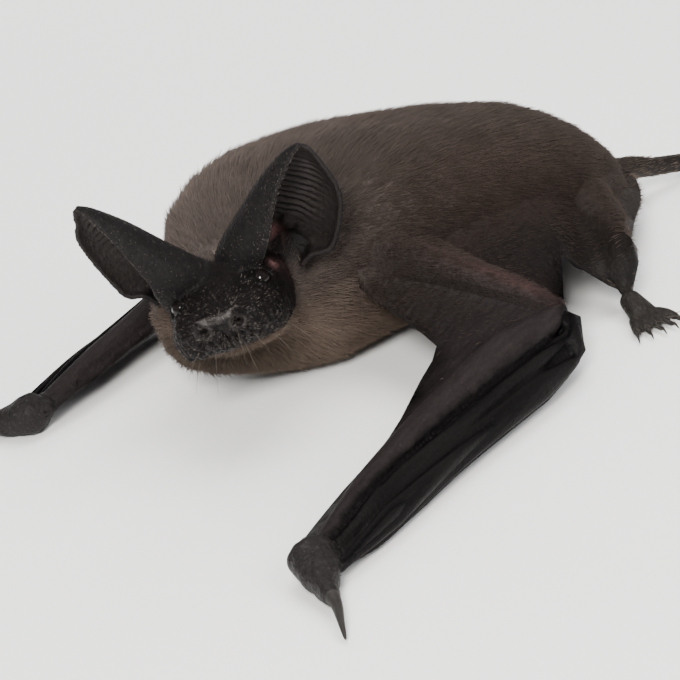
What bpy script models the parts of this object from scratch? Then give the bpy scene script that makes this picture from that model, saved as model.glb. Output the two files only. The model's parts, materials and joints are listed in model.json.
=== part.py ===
"""European free-tailed bat (Tadarida teniotis), life-size, crouching on its wrists and feet.

The bat faces -Y and +X is its left side. Tables are in millimetres and the model is in metres.
Each named part of the body is one closed solid, and neighbours stay GAP apart.
"""

import bmesh
import bpy
import numpy as np
from math import cos, copysign, pi, radians, sin
from mathutils import Vector

MM = 0.001
GAP = 0.3  # clear space between neighbouring parts
MERGE = 0.000002  # metres
MIDDLE = np.array([16.25, 8.53, 0.0])  # the drawing's middle of the footprint, which becomes the origin
SOLE = 0.0  # the level of the floor

# ---------------------------------------------------------------- trunk and neck (mm)
# y, x, z of the middle, half width, height above, depth below, turn to the left, lean to the right
TRUNK = [
    (44.5, 0.0, 7.0, 2.2, 1.5, 2.0, 0.0, 0.0),
    (43.0, 0.0, 8.0, 7.0, 4.4, 4.6, 0.0, 0.0),
    (38.5, 0.0, 10.6, 12.2, 8.4, 8.2, 0.0, 0.0),
    (30.0, 0.0, 12.8, 15.8, 12.4, 11.2, 0.0, 0.0),
    (20.0, 0.0, 14.3, 17.8, 14.6, 13.2, 2.0, 0.0),
    (8.0, 0.0, 15.3, 19.0, 16.8, 14.6, 6.0, 0.02),
    (-3.0, -0.3, 16.0, 19.4, 18.2, 15.4, 14.0, 0.06),
    (-10.5, -0.4, 16.4, 19.0, 18.2, 15.8, 22.0, 0.12),
    (-17.0, -0.3, 16.4, 18.3, 17.5, 15.8, 30.0, 0.2),
    (-22.5, 1.0, 15.8, 17.2, 15.0, 15.0, 36.0, 0.26),
    (-27.5, 3.6, 14.4, 14.8, 11.0, 13.4, 42.0, 0.22),
    (-32.0, 4.4, 13.4, 13.6, 8.4, 10.8, 46.0, 0.1),
    (-35.2, 6.6, 12.0, 9.8, 5.4, 7.0, 48.0, 0.0),
    (-36.4, 10.4, 10.6, 2.2, 1.6, 2.0, 48.0, 0.0),
]
BODY_SIDES = 20
BODY_SQUARE = 2.5
BODY_RINGS = 21

# ---------------------------------------------------------------- head (mm)
HEAD_AT = (8.2, -31.0, 18.3)
HEAD_TURN = 60.0  # degrees towards its left
HEAD_LIFT = 11.0
HEAD_ROLL = 10.0  # its left side up
# forward, then height of the middle, half width, height above it, depth below it, squareness
SKULL = [
    (-12.5, 0.5, 2.5, 2.5, 2.5, 2.0),
    (-11.0, 0.5, 6.4, 5.8, 5.6, 2.0),
    (-7.0, 0.4, 9.0, 7.6, 7.6, 2.1),
    (-2.0, 0.2, 9.8, 7.8, 8.2, 2.2),
    (2.5, -0.2, 9.6, 6.9, 7.8, 2.3),
    (6.5, -0.9, 8.8, 5.3, 6.6, 2.5),
    (10.5, -1.4, 8.2, 4.3, 5.2, 2.8),
    (13.5, -1.6, 7.3, 3.7, 4.3, 2.8),
    (15.3, -1.6, 5.6, 2.9, 3.3, 2.5),
    (16.0, -1.6, 2.6, 1.4, 1.6, 2.0),
]
CHIN_BACK = 2.4  # how far the lower lip sets back behind the nose
HEAD_SIDES = 20
HEAD_RINGS = 15
EYE_AT = (6.6, 7.0, 1.9)  # forward, left, up
EYE_RADIUS = 1.7

# ---------------------------------------------------------------- ears (mm)
# forward, left and up of a rib's middle, half width, depth, dip of its outer end,
# angle of its outer end, angle of its front end, which is reached by going round the back
EAR = [
    (0.0, 6.2, 2.4, 6.0, 5.2, 16.0, 20.0, -262.0),
    (0.5, 7.4, 4.4, 7.2, 5.8, 18.0, 20.0, -265.0),
    (1.6, 10.0, 5.8, 7.9, 5.8, 26.0, 16.0, -256.0),
    (3.0, 12.8, 8.6, 7.4, 5.2, 29.0, 8.0, -247.0),
    (4.8, 15.8, 12.4, 6.3, 4.3, 32.0, 2.0, -236.0),
    (6.4, 17.9, 15.4, 4.7, 3.1, 40.0, 0.0, -228.0),
    (7.6, 18.9, 17.7, 2.8, 1.8, 46.0, 0.0, -222.0),
    (8.3, 19.3, 19.4, 0.8, 0.5, 46.0, 0.0, -218.0),
]
EAR_THICK = 0.9
EAR_RAISE = {"left": -4.5, "right": 14.0}  # degrees towards the crown
EAR_TWIST = {"left": 8.0, "right": 42.0}  # degrees that the opening turns outwards
EAR_FRONT = {"left": 0.0, "right": 26.0}  # degrees by which the front edge is set back above the root
EAR_ROOT = (7.0, 4.0)  # left and up of the point about which the ear is raised
EAR_ROWS = 9
EAR_COLUMNS = 10

# ---------------------------------------------------------------- wings, legs and tail (mm)
WINGS = {
    "left": {
        "side": 1.0,
        "brawn": 0.72,  # the upper arm's girth at the shoulder, as a share of UPPER_ARM's
        "shoulder": (10.0, -9.0, 18.5),
        "elbow": (38.5, 8.6, 8.8),
        "wrist": (60.6, -48.0, 3.8),
        "thumb": (71.2, -50.2, 1.9),
        "claw": (76.6, -52.2, 0.6),
        "web_neck": (16.0, -14.0, 15.0),
        "ankle": (32.0, 23.0, 3.0),
        "toes": (44.0, 22.0, 0.9),
    },
    "right": {
        "side": -1.0,
        "brawn": 1.0,
        "shoulder": (-11.0, -20.5, 19.5),
        "elbow": (-40.0, -7.0, 8.8),
        "wrist": (-12.5, -61.4, 3.8),
        "thumb": (-18.6, -70.6, 1.9),
        "claw": (-22.0, -75.4, 0.6),
        "web_neck": (-14.0, -24.0, 15.0),
        "ankle": (-32.0, 25.0, 3.0),
        "toes": (-43.5, 29.0, 0.9),
    },
}
HIP = (9.0, 31.0, 12.0)  # on the left; the right one mirrors it
KNEE = (26.0, 27.0, 9.5)
FLANK = (21.0, 20.5, 18.5)  # where the wing membrane leaves the body
MEMBRANE = 0.8
WEB_ROWS = 10
# along the limb from 0 to 1, half width, half height
UPPER_ARM = [(0.0, 7.2, 7.6), (0.25, 6.0, 6.2), (0.5, 4.0, 4.2), (0.75, 2.9, 2.9), (0.95, 2.7, 2.7), (1.0, 2.2, 2.2)]
FOREARM = [(0.0, 2.4, 2.4), (0.06, 3.2, 3.0), (0.25, 3.6, 3.3), (0.5, 3.0, 2.9), (0.8, 2.4, 2.3), (1.0, 2.2, 2.0)]
# inset of the leading web's free edge from the forearm, and its height, along the forearm
WEB_EDGE = [(0.27, 12.2, 8.8), (0.42, 9.4, 7.2), (0.57, 6.8, 6.0), (0.72, 5.6, 5.0), (0.86, 4.9, 4.2), (1.0, 3.4, 3.4)]
FOREARM_BOW = ((0.3, 2.3), (0.62, 2.3))  # how far the bone bows towards the crook, along the forearm
FINGER_STEPS = (0.0, 0.25, 0.5, 0.8, 1.0)  # from the wrist to the end of the folded finger
# outsets from the forearm's line, height at the wrist, height at the elbow, reach, half width, half height
FINGERS = {
    "finger_third": ((1.6, 1.2, 1.1, 1.5, 2.6), 3.4, 6.0, 0.97, 1.6, 2.2),
    "finger_fourth": ((4.6, 3.7, 3.4, 4.1, 4.7), 2.8, 3.8, 0.92, 1.5, 1.9),
    "finger_fifth": ((2.8, 3.4, 3.0, 2.4, 2.0), 1.8, 2.0, 0.60, 1.3, 1.3),
}
TAIL = [
    (0.0, 41.0, 9.5, 2.6),
    (0.0, 47.0, 7.2, 2.0),
    (-1.0, 54.0, 4.4, 1.6),
    (-2.5, 63.0, 2.0, 1.4),
    (-4.5, 76.0, 0.9, 1.1),
    (-6.5, 92.5, 0.8, 0.8),
]
TOES = 5
TOE_SPREAD = 46.0  # degrees between the outer toes

# ---------------------------------------------------------------- colours: base colour, roughness
FUR = ((0.090, 0.066, 0.054, 1.0), 0.9)
FUR_PALE = ((0.170, 0.125, 0.090, 1.0), 0.9)
BARE = ((0.040, 0.034, 0.034, 1.0), 0.6)
EYE = ((0.004, 0.004, 0.005, 1.0), 0.08)
CLAW = ((0.060, 0.050, 0.045, 1.0), 0.35)

# ---------------------------------------------------------------- the trunk's parts: front and back limits along y
NECK_Y = -12.0
WAIST_Y = 10.0
BODY_PARTS = [("neck", None, NECK_Y, FUR_PALE), ("chest", NECK_Y, WAIST_Y, FUR), ("abdomen", WAIST_Y, None, FUR)]


def vec(values):
    return np.array(values, dtype=float)


def mix(a, b, share):
    return vec(a) * (1.0 - share) + vec(b) * share


def unit(v):
    return v / np.linalg.norm(v)


def along(rows, place):
    """The table's row at a place from 0 to 1, on a smooth curve through all its rows."""
    rows = vec(rows)
    at = place * (len(rows) - 1)
    i = min(int(at), len(rows) - 2)
    u = at - i
    before = rows[max(i - 1, 0)]
    start = rows[i]
    end = rows[i + 1]
    after = rows[min(i + 2, len(rows) - 1)]
    linear = (end - before) * u
    square = (2 * before - 5 * start + 4 * end - after) * u**2
    cube = (3 * start - before - 3 * end + after) * u**3
    return start + 0.5 * (linear + square + cube)


def by_first(rows, value):
    """A table's other columns at a value of its first one, read along straight lines."""
    rows = vec(rows)
    order = np.argsort(rows[:, 0])
    return vec([np.interp(value, rows[order, 0], rows[order, c]) for c in range(1, rows.shape[1])])


# ---------------------------------------------------------------- making solids
def material(name, finish):
    found = bpy.data.materials.get(name)
    if found:
        return found
    made = bpy.data.materials.new(name)
    made.use_nodes = True
    shader = made.node_tree.nodes["Principled BSDF"]
    shader.inputs["Base Color"].default_value = finish[0]
    shader.inputs["Roughness"].default_value = finish[1]
    shader.inputs["Metallic"].default_value = 0.0
    return made


def solid(name, points, faces, finish=FUR):
    mesh = bpy.data.meshes.new(name)
    mesh.from_pydata([tuple((vec(p) - MIDDLE) * MM) for p in points], [], faces)
    work = bmesh.new()
    work.from_mesh(mesh)
    bmesh.ops.recalc_face_normals(work, faces=work.faces)
    work.to_mesh(mesh)
    work.free()
    mesh.shade_smooth()
    made = bpy.data.objects.new(name, mesh)
    made.data.materials.append(material("finish_" + name, finish))
    bat.objects.link(made)
    return made


def loft(name, rings, finish=FUR):
    """A closed skin over rings of points, with a point in the middle of each end."""
    count = len(rings[0])
    points = [p for ring in rings for p in ring]
    faces = []
    for r in range(len(rings) - 1):
        for k in range(count):
            n = (k + 1) % count
            faces.append((r * count + k, r * count + n, (r + 1) * count + n, (r + 1) * count + k))
    for ring, row in ((rings[0], 0), (rings[-1], len(rings) - 1)):
        middle = len(points)
        points.append(np.mean(ring, axis=0))
        faces += [(row * count + k, row * count + (k + 1) % count, middle) for k in range(count)]
    return solid(name, points, faces, finish)


def ring(middle, across, up, half, above, below, sides, square=2.0):
    """An oval of points, fuller at the corners where square is over 2."""
    points = []
    for k in range(sides):
        turn = 2 * pi * (k + 0.5) / sides
        c = copysign(abs(cos(turn)) ** (2.0 / square), cos(turn))
        s = copysign(abs(sin(turn)) ** (2.0 / square), sin(turn))
        points.append(middle + across * half * c + up * (above if s > 0 else below) * s)
    return points


def limb(name, path, sizes, sides, rings, finish, up=(0.0, 0.0, 1.0)):
    """A round limb through the points of path; sizes: place, half width, half height."""
    loops = []
    for i in range(rings):
        place = i / (rings - 1)
        middle = along(path, place)
        ahead = unit(along(path, min(place + 0.02, 1.0)) - along(path, max(place - 0.02, 0.0)))
        across = unit(np.cross(ahead, vec(up)))
        half, tall = by_first(sizes, place)
        end = max(0.35, min(1.0, 3.0 * place + 0.35, 3.0 * (1.0 - place) + 0.35))
        loops.append(ring(middle, across, np.cross(across, ahead), half * end, tall * end, tall * end, sides))
    return loft(name, loops, finish)


def sheet(name, rows, thick, finish):
    """A skin of one thickness over a grid of points."""
    wide = len(rows[0])
    points = [p for row in rows for p in row]
    faces = []
    for r in range(len(rows) - 1):
        for k in range(wide - 1):
            faces.append((r * wide + k, r * wide + k + 1, (r + 1) * wide + k + 1, (r + 1) * wide + k))
    made = solid(name, points, faces, finish)
    shell = made.modifiers.new("thickness", "SOLIDIFY")
    shell.thickness = thick * MM
    shell.offset = 0.0
    bake(made)
    return made


def bake(made):
    """Applies an object's modifiers."""
    bpy.context.view_layer.update()
    depsgraph = bpy.context.evaluated_depsgraph_get()
    result = bpy.data.meshes.new_from_object(made.evaluated_get(depsgraph))
    made.modifiers.clear()
    old = made.data
    made.data = result
    result.name = made.name
    bpy.data.meshes.remove(old)


def keep_largest(made):
    """Deletes the loose scraps that a cut leaves."""
    work = bmesh.new()
    work.from_mesh(made.data)
    bmesh.ops.remove_doubles(work, verts=work.verts, dist=MERGE)
    bodies = []
    left = set(work.verts)
    while left:
        body = {left.pop()}
        edge = set(body)
        while edge:
            edge = {e.other_vert(v) for v in edge for e in v.link_edges} - body
            body |= edge
        left -= body
        bodies.append(body)
    bodies.sort(key=lambda body: sum(f.calc_area() for v in body for f in v.link_faces))
    scraps = [v for body in bodies[:-1] for v in body]
    bmesh.ops.delete(work, geom=scraps, context="VERTS")
    work.to_mesh(made.data)
    work.free()


def spare(made, name):
    """A copy of a solid among the cutters, out of sight."""
    copy = made.copy()
    copy.data = made.data.copy()
    copy.name = name
    cutters.objects.link(copy)
    copy.hide_render = True
    copy.display_type = "WIRE"
    return copy


def swollen(made, by):
    """A copy of a solid as it was before its own cuts, larger by a distance all round."""
    copy = spare(whole.get(made.name, made), "cutter_" + made.name)
    normals = [v.normal.copy() for v in copy.data.vertices]
    for v, normal in zip(copy.data.vertices, normals):
        v.co += normal * by * MM
    return copy


def clear(made, *neighbours):
    """Cuts a solid back so that it stays a gap away from its neighbours."""
    if made.name not in whole:
        whole[made.name] = spare(made, "whole_" + made.name)
    used = []
    for other in neighbours:
        cutter = swollen(other, GAP)
        cut = made.modifiers.new("cut_" + other.name, "BOOLEAN")
        cut.operation = "DIFFERENCE"
        cut.object = cutter
        used.append(cutter)
    bake(made)
    for cutter in used:
        bpy.data.objects.remove(cutter)
    keep_largest(made)


def join(made, *others):
    """Unites solids with the first and removes them."""
    for other in others:
        added = made.modifiers.new("with_" + other.name, "BOOLEAN")
        added.operation = "UNION"
        added.object = other
    bake(made)
    for other in others:
        bpy.data.objects.remove(other)
    keep_largest(made)


def trim(made, point, outward):
    """Cuts off what lies beyond a plane and closes the cut."""
    work = bmesh.new()
    work.from_mesh(made.data)
    everything = work.verts[:] + work.edges[:] + work.faces[:]
    place = Vector((vec(point) - MIDDLE) * MM)
    bmesh.ops.bisect_plane(work, geom=everything, plane_co=place, plane_no=outward, clear_outer=True)
    rim = [e for e in work.edges if e.is_boundary]
    if rim:
        bmesh.ops.holes_fill(work, edges=rim)
    bmesh.ops.recalc_face_normals(work, faces=work.faces)
    work.to_mesh(made.data)
    work.free()


def flatten(made):
    """Trims a sole flat at the level of the floor."""
    trim(made, (0.0, 0.0, SOLE), (0.0, 0.0, -1.0))


# ---------------------------------------------------------------- trunk and neck
def body_ring(place):
    y, x, z, half, above, below, turn, lean = along(TRUNK, place)
    across = vec((cos(radians(turn)), sin(radians(turn)), 0.0))
    up = vec((0, 0, 1)) - across * lean
    return ring(vec((x, y, z)), across, up, half, above, below, BODY_SIDES, BODY_SQUARE)


def make_body():
    """The whole trunk and neck, and its three parts."""
    rings = [body_ring(i / (BODY_RINGS - 1)) for i in range(BODY_RINGS)]
    whole["trunk"] = loft("trunk", rings)
    parts = []
    for name, front, back, finish in BODY_PARTS:
        made = loft(name, rings, finish)
        whole[name] = whole["trunk"]
        if front is not None:
            trim(made, (0.0, front + GAP / 2, 0.0), (0.0, -1.0, 0.0))
        if back is not None:
            trim(made, (0.0, back - GAP / 2, 0.0), (0.0, 1.0, 0.0))
        parts.append(made)
    trunk = whole["trunk"]
    bat.objects.unlink(trunk)
    cutters.objects.link(trunk)
    trunk.hide_render = True
    trunk.display_type = "WIRE"
    return parts


# ---------------------------------------------------------------- head
def head_axes():
    """The head's own forward, left and up directions."""
    turn = radians(HEAD_TURN)
    lift = radians(HEAD_LIFT)
    roll = radians(HEAD_ROLL)
    forward = vec((sin(turn) * cos(lift), -cos(turn) * cos(lift), sin(lift)))
    level = vec((cos(turn), sin(turn), 0.0))
    crown = np.cross(level, forward) * -1.0
    left = level * cos(roll) + crown * sin(roll)
    up = crown * cos(roll) - level * sin(roll)
    return forward, left, up


def on_head(forward, left, up):
    """A point given in the head's own directions."""
    ahead, side, crown = head_axes()
    return vec(HEAD_AT) + ahead * forward + side * left + crown * up


def make_head():
    ahead, left, up = head_axes()
    rings = []
    for i in range(HEAD_RINGS):
        forward, height, half, above, below, square = along(SKULL, i / (HEAD_RINGS - 1))
        middle = on_head(forward, 0.0, height)
        points = ring(middle, left, up, half, above, below, HEAD_SIDES, square)
        muzzle = min(1.0, max(0.0, (forward - 7.0) / 7.0))
        lows = [max(0.0, -np.dot(p - middle, up) / below) for p in points]
        rings.append([p - ahead * CHIN_BACK * muzzle * low for p, low in zip(points, lows)])
    return loft("head", rings)


def make_eye(name, side):
    bpy.ops.mesh.primitive_uv_sphere_add(segments=10, ring_count=7, radius=EYE_RADIUS * MM)
    made = bpy.context.object
    made.name = name
    bpy.context.collection.objects.unlink(made)
    bat.objects.link(made)
    forward, left, up = EYE_AT
    place = (on_head(forward, left * side, up) - MIDDLE) * MM
    for v in made.data.vertices:
        v.co += Vector(place)
    made.data.shade_smooth()
    made.data.materials.append(material("finish_eye", EYE))
    return made


def ear_rib(place, side, count):
    """Points of one rib, from the ear's outer edge round the back to its hairy front edge."""
    forward, left, up, half, deep, dip, first, last = along(EAR, place)
    dip = radians(dip)
    twist = radians(EAR_TWIST[side])
    lift = radians(EAR_RAISE[side])
    way = WINGS[side]["side"]
    last += EAR_FRONT[side] * min(1.0, 3.0 * place)
    points = []
    for k in range(count):
        turn = radians(first + (last - first) * k / (count - 1))
        out = half * cos(turn) * cos(twist) + deep * sin(turn) * sin(twist)
        ahead = deep * sin(turn) * cos(twist) - half * cos(turn) * sin(twist)
        aside = left + out * cos(dip) - EAR_ROOT[0]
        above = up - out * sin(dip) - EAR_ROOT[1]
        across = EAR_ROOT[0] + aside * cos(lift) - above * sin(lift)
        height = EAR_ROOT[1] + above * cos(lift) + aside * sin(lift)
        points.append(on_head(forward + ahead, way * across, height))
    return points


def make_ear(side):
    rows = [ear_rib(i / (EAR_ROWS - 1), side, EAR_COLUMNS) for i in range(EAR_ROWS)]
    return sheet("ear_" + side, rows, EAR_THICK, BARE)


# ---------------------------------------------------------------- wings
def forearm_frame(wing):
    """The forearm's level direction, its outward normal, and its length."""
    elbow = vec(wing["elbow"])
    run = vec(wing["wrist"]) - elbow
    ahead = unit(vec((run[0], run[1], 0.0)))
    out = vec((-ahead[1], ahead[0], 0.0)) * wing["side"]
    return elbow, run, out


def beside_forearm(wing, place, out, height):
    elbow, run, outward = forearm_frame(wing)
    point = elbow + run * place + outward * out
    point[2] = height
    return point


def make_upper_arm(side, wing):
    path = [wing["shoulder"], mix(wing["shoulder"], wing["elbow"], 0.5), wing["elbow"]]
    brawn = [1.0 - (1.0 - wing["brawn"]) * (1.0 - place) for place, _, _ in UPPER_ARM]
    sizes = [(row[0], row[1] * b, row[2] * b) for row, b in zip(UPPER_ARM, brawn)]
    return limb("upper_arm_" + side, path, sizes, 12, 8, BARE)


def forearm_path(wing):
    """The forearm is bowed towards the crook, which leaves room for the fingers beside it."""
    path = [vec(wing["elbow"])]
    for place, bow in FOREARM_BOW:
        height = mix(wing["elbow"], wing["wrist"], place)[2]
        path.append(beside_forearm(wing, place, -bow, height))
    return path + [vec(wing["wrist"])]


def make_forearm(side, wing):
    return limb("forearm_" + side, forearm_path(wing), FOREARM, 10, 10, BARE)


def make_hand(side, wing):
    """The wrist's pad and the thumb, flat where they bear on the floor."""
    wrist = vec(wing["wrist"])
    thumb = vec(wing["thumb"])
    path = [wrist + unit(wrist - thumb) * 3.4, wrist, mix(wrist, thumb, 0.35), mix(wrist, thumb, 0.7), thumb]
    path = [vec((p[0], p[1], z)) for p, z in zip(path, (3.6, 3.2, 2.5, 2.0, thumb[2]))]
    sizes = [(0.0, 2.8, 2.6), (0.25, 3.5, 3.5), (0.5, 2.8, 2.6), (0.75, 1.3, 1.7), (1.0, 0.9, 1.2)]
    made = limb("hand_" + side, path, sizes, 10, 8, BARE)
    flatten(made)
    return made


def make_thumb_claw(side, wing):
    thumb = vec(wing["thumb"])
    tip = vec(wing["claw"])
    path = [mix(thumb, tip, -0.15), mix(thumb, tip, 0.35) + vec((0, 0, 0.7)), tip]
    sizes = [(0.0, 0.9, 1.1), (0.5, 0.6, 0.9), (1.0, 0.35, 0.35)]
    return limb("thumb_claw_" + side, path, sizes, 6, 6, CLAW)


def make_finger(name, side, wing, plan):
    outs, low, high, reach, half, tall = plan
    path = []
    for share, out in zip(FINGER_STEPS, outs):
        path.append(beside_forearm(wing, 1.0 - reach * share, out, low + (high - low) * share))
    sizes = [(0.0, 1.1, 1.2), (0.2, half, tall), (0.8, half * 1.15, tall * 1.1), (1.0, half, tall)]
    return limb(name + "_" + side, path, sizes, 8, 7, BARE)


def make_leading_web(side, wing):
    """The web in the crook of the elbow, from the shoulder to the wrist."""
    shoulder = vec(wing["shoulder"])
    elbow = vec(wing["elbow"])
    crook = beside_forearm(wing, 0.04, -1.5, elbow[2])
    inner = [shoulder, mix(shoulder, elbow, 0.5), mix(shoulder, elbow, 0.8), crook]
    bend = beside_forearm(wing, WEB_EDGE[0][0], -WEB_EDGE[0][1], WEB_EDGE[0][2])
    outer = [vec(wing["web_neck"]), mix(wing["web_neck"], bend, 0.45) + vec((0, 0, 0.6))]
    outer += [mix(wing["web_neck"], bend, 0.8) + vec((0, 0, 0.4)), bend]
    for place, inset, height in WEB_EDGE[1:]:
        inner.append(along(forearm_path(wing), place))
        outer.append(beside_forearm(wing, place, -inset, height))
    return web("leading_web_" + side, inner, outer, WEB_ROWS, 4)


def make_trailing_web(side, wing):
    """The membrane from the arm to the flank and on to the ankle."""
    way = vec((wing["side"], 1.0, 1.0))
    shoulder = vec(wing["shoulder"])
    elbow = vec(wing["elbow"])
    flank = vec(FLANK) * way
    ankle = vec(wing["ankle"])
    edge = mix(elbow, flank, 0.45)
    slack = vec((-2.6 * wing["side"], 0.0, 0.0))
    inner = [(15, 2, 18.5), (17, 12, 18), (18.5, 20, 17.5), (20, 25, 14), (25, 26.5, 10)]
    inner = [shoulder + vec((0, 4.0, 0))] + [vec(p) * way for p in inner] + [ankle + vec((0, 1.2, 0.8))]
    outer = [mix(shoulder, elbow, 0.45), mix(shoulder, elbow, 0.95), mix(elbow, flank, 0.12), edge]
    outer += [mix(edge, ankle, 0.35) + slack, mix(edge, ankle, 0.7) + slack * 0.5, ankle]
    return web("trailing_web_" + side, inner, outer, WEB_ROWS, 5)


def web(name, inner, outer, count, columns):
    rows = []
    for i in range(count):
        place = i / (count - 1)
        rows.append([mix(along(inner, place), along(outer, place), k / columns) for k in range(columns + 1)])
    return sheet(name, rows, MEMBRANE, BARE)


# ---------------------------------------------------------------- legs and tail
def make_leg(side, wing):
    way = vec((wing["side"], 1.0, 1.0))
    hip = vec(HIP) * way
    knee = vec(KNEE) * way
    ankle = vec(wing["ankle"])
    past = knee + unit(knee - hip) * 2.5
    sizes = [(0.0, 5.0, 5.0), (0.5, 4.2, 4.6), (1.0, 3.0, 3.4)]
    thigh = limb("thigh_" + side, [hip, mix(hip, knee, 0.5), past], sizes, 10, 7, FUR)
    sizes = [(0.0, 3.2, 3.4), (0.3, 3.0, 3.2), (0.7, 2.0, 2.0), (1.0, 1.6, 1.6)]
    path = [knee, mix(knee, ankle, 0.5) + vec((wing["side"] * 1.0, 0, 0.4)), ankle]
    shin = limb("shin_" + side, path, sizes, 10, 7, BARE)
    return thigh, shin


def make_foot(side, wing):
    """The sole and five toes with hooked claws, in one piece."""
    ankle = vec(wing["ankle"])
    toes = vec(wing["toes"])
    ahead = unit(vec((toes[0] - ankle[0], toes[1] - ankle[1], 0.0)))
    across = vec((-ahead[1], ahead[0], 0.0))
    ball = mix(ankle, toes, 0.5)
    ball[2] = 1.1
    path = [ankle, mix(ankle, ball, 0.5), ball]
    foot = limb("foot_" + side, path, [(0.0, 1.5, 1.6), (0.5, 2.0, 1.7), (1.0, 2.6, 1.3)], 8, 5, BARE)
    reach = np.linalg.norm(toes - ankle) * 0.56
    joined = []
    for k in range(TOES):
        share = k / (TOES - 1) - 0.5
        turn = radians(TOE_SPREAD) * share
        way = ahead * cos(turn) + across * sin(turn)
        root = ball + across * share * 3.6 - ahead * 1.2
        path = [root, root + way * reach * 0.4 + vec((0, 0, 0.2)), root + way * reach * 0.75, root + way * reach]
        path[2][2] = 0.4
        path[3][2] = 0.05
        sizes = [(0.0, 0.9, 0.95), (0.6, 0.75, 0.8), (0.8, 0.5, 0.65), (1.0, 0.3, 0.3)]
        joined.append(limb("toe", path, sizes, 4, 4, BARE))
    join(foot, *joined)
    flatten(foot)
    return foot


def make_tail():
    path = [row[:3] for row in TAIL]
    sizes = [(i / (len(TAIL) - 1), row[3], row[3]) for i, row in enumerate(TAIL)]
    made = limb("tail", path, sizes, 8, 11, BARE)
    flatten(made)
    return made


def make_tail_web(side, wing):
    """Half of the membrane from shin to shin, gathered on the root of the tail."""
    way = vec((wing["side"], 1.0, 1.0))
    inner = [(25.5, 26.5, 9.0), (17.0, 31.5, 9.5), (8.5, 38.5, 8.8), (2.9, 41.0, 8.0)]
    outer = [(30.0, 25.0, 4.2), (19.0, 34.0, 5.4), (9.5, 43.0, 6.2), (2.9, 47.0, 6.4)]
    return web("tail_web_" + side, [vec(p) * way for p in inner], [vec(p) * way for p in outer], 7, 4)


# ---------------------------------------------------------------- the bat
for old in list(bpy.data.objects):
    bpy.data.objects.remove(old)
bat = bpy.data.collections.new("free_tailed_bat")
bpy.context.scene.collection.children.link(bat)
cutters = bpy.data.collections.new("cutters")
bpy.context.scene.collection.children.link(cutters)

whole = {}  # solids as they were before their cuts

head = make_head()
eyes = [make_eye("eye_left", 1.0), make_eye("eye_right", -1.0)]
ears = [make_ear("left"), make_ear("right")]
clear(ears[0], head, eyes[0])
clear(ears[1], head, eyes[1], ears[0])
clear(head, *eyes)
neck, chest, abdomen = make_body()
clear(neck, *ears, head)

for side, wing in WINGS.items():
    arm = make_upper_arm(side, wing)
    clear(arm, chest)
    forearm = make_forearm(side, wing)
    clear(forearm, arm)
    hand = make_hand(side, wing)
    clear(hand, forearm)
    claw = make_thumb_claw(side, wing)
    clear(claw, hand)
    bones = [arm, forearm, hand]
    for name, plan in FINGERS.items():
        finger = make_finger(name, side, wing, plan)
        clear(finger, *bones)
        bones.append(finger)
    thigh, shin = make_leg(side, wing)
    foot = make_foot(side, wing)
    clear(thigh, abdomen)
    clear(shin, thigh, foot)
    clear(make_leading_web(side, wing), chest, *bones)
    trailing = make_trailing_web(side, wing)
    clear(trailing, chest, *bones)
    clear(trailing, thigh, shin, foot)

tail = make_tail()
clear(tail, abdomen)
for side, wing in WINGS.items():
    near = [bat.objects[part + side] for part in ("thigh_", "shin_", "foot_", "trailing_web_")]
    clear(make_tail_web(side, wing), abdomen, *near)
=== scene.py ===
# %% [markdown]
# # A free-tailed bat at life size
# The animal crouches on its folded wings, head up and turned to its left, on a pale studio floor.
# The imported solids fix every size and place. This script makes what the eye meets: one unbroken skin,
# the eyes and claws, and the short velvety coat, which is laid hair by hair over the skin.

# %% Load the solids
import json
from math import cos, pi, radians, sin

import bpy
import numpy as np
from mathutils import Matrix, Vector, noise
from mathutils.kdtree import KDTree

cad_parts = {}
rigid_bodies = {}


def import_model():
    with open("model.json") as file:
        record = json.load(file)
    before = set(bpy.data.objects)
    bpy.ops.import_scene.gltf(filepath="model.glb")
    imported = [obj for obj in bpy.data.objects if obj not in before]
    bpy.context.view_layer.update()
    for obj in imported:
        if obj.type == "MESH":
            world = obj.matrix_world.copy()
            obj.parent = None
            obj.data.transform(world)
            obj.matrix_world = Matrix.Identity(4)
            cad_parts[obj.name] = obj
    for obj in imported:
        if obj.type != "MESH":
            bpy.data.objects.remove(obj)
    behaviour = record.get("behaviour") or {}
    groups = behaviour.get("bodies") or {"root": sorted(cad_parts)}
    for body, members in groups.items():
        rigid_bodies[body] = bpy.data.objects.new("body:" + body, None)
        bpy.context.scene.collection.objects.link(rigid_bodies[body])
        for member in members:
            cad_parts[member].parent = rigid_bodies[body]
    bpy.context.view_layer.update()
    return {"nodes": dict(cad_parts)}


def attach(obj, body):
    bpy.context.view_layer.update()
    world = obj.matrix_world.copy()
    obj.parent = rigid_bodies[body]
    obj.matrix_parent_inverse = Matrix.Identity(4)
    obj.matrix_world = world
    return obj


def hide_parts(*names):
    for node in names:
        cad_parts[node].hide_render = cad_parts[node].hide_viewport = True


for old in list(bpy.data.objects):
    bpy.data.objects.remove(old)
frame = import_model()
MM = 0.001
print("solids:", len(frame["nodes"]))

# %% [markdown]
# ## Measures of the body
# A lofted animal starts as a table of cross sections, as a boat starts as its frames. Each row is one
# oval: where its middle is, how wide it is, how high above and how deep below. The tables are the ones
# that the solids were drawn from, in millimetres, with the bat facing -Y and its left side at +X.

# %% Trunk, head and ear tables
MIDDLE = np.array([16.25, 8.53, 0.0])  # the drawing's point that is the origin here

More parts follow.
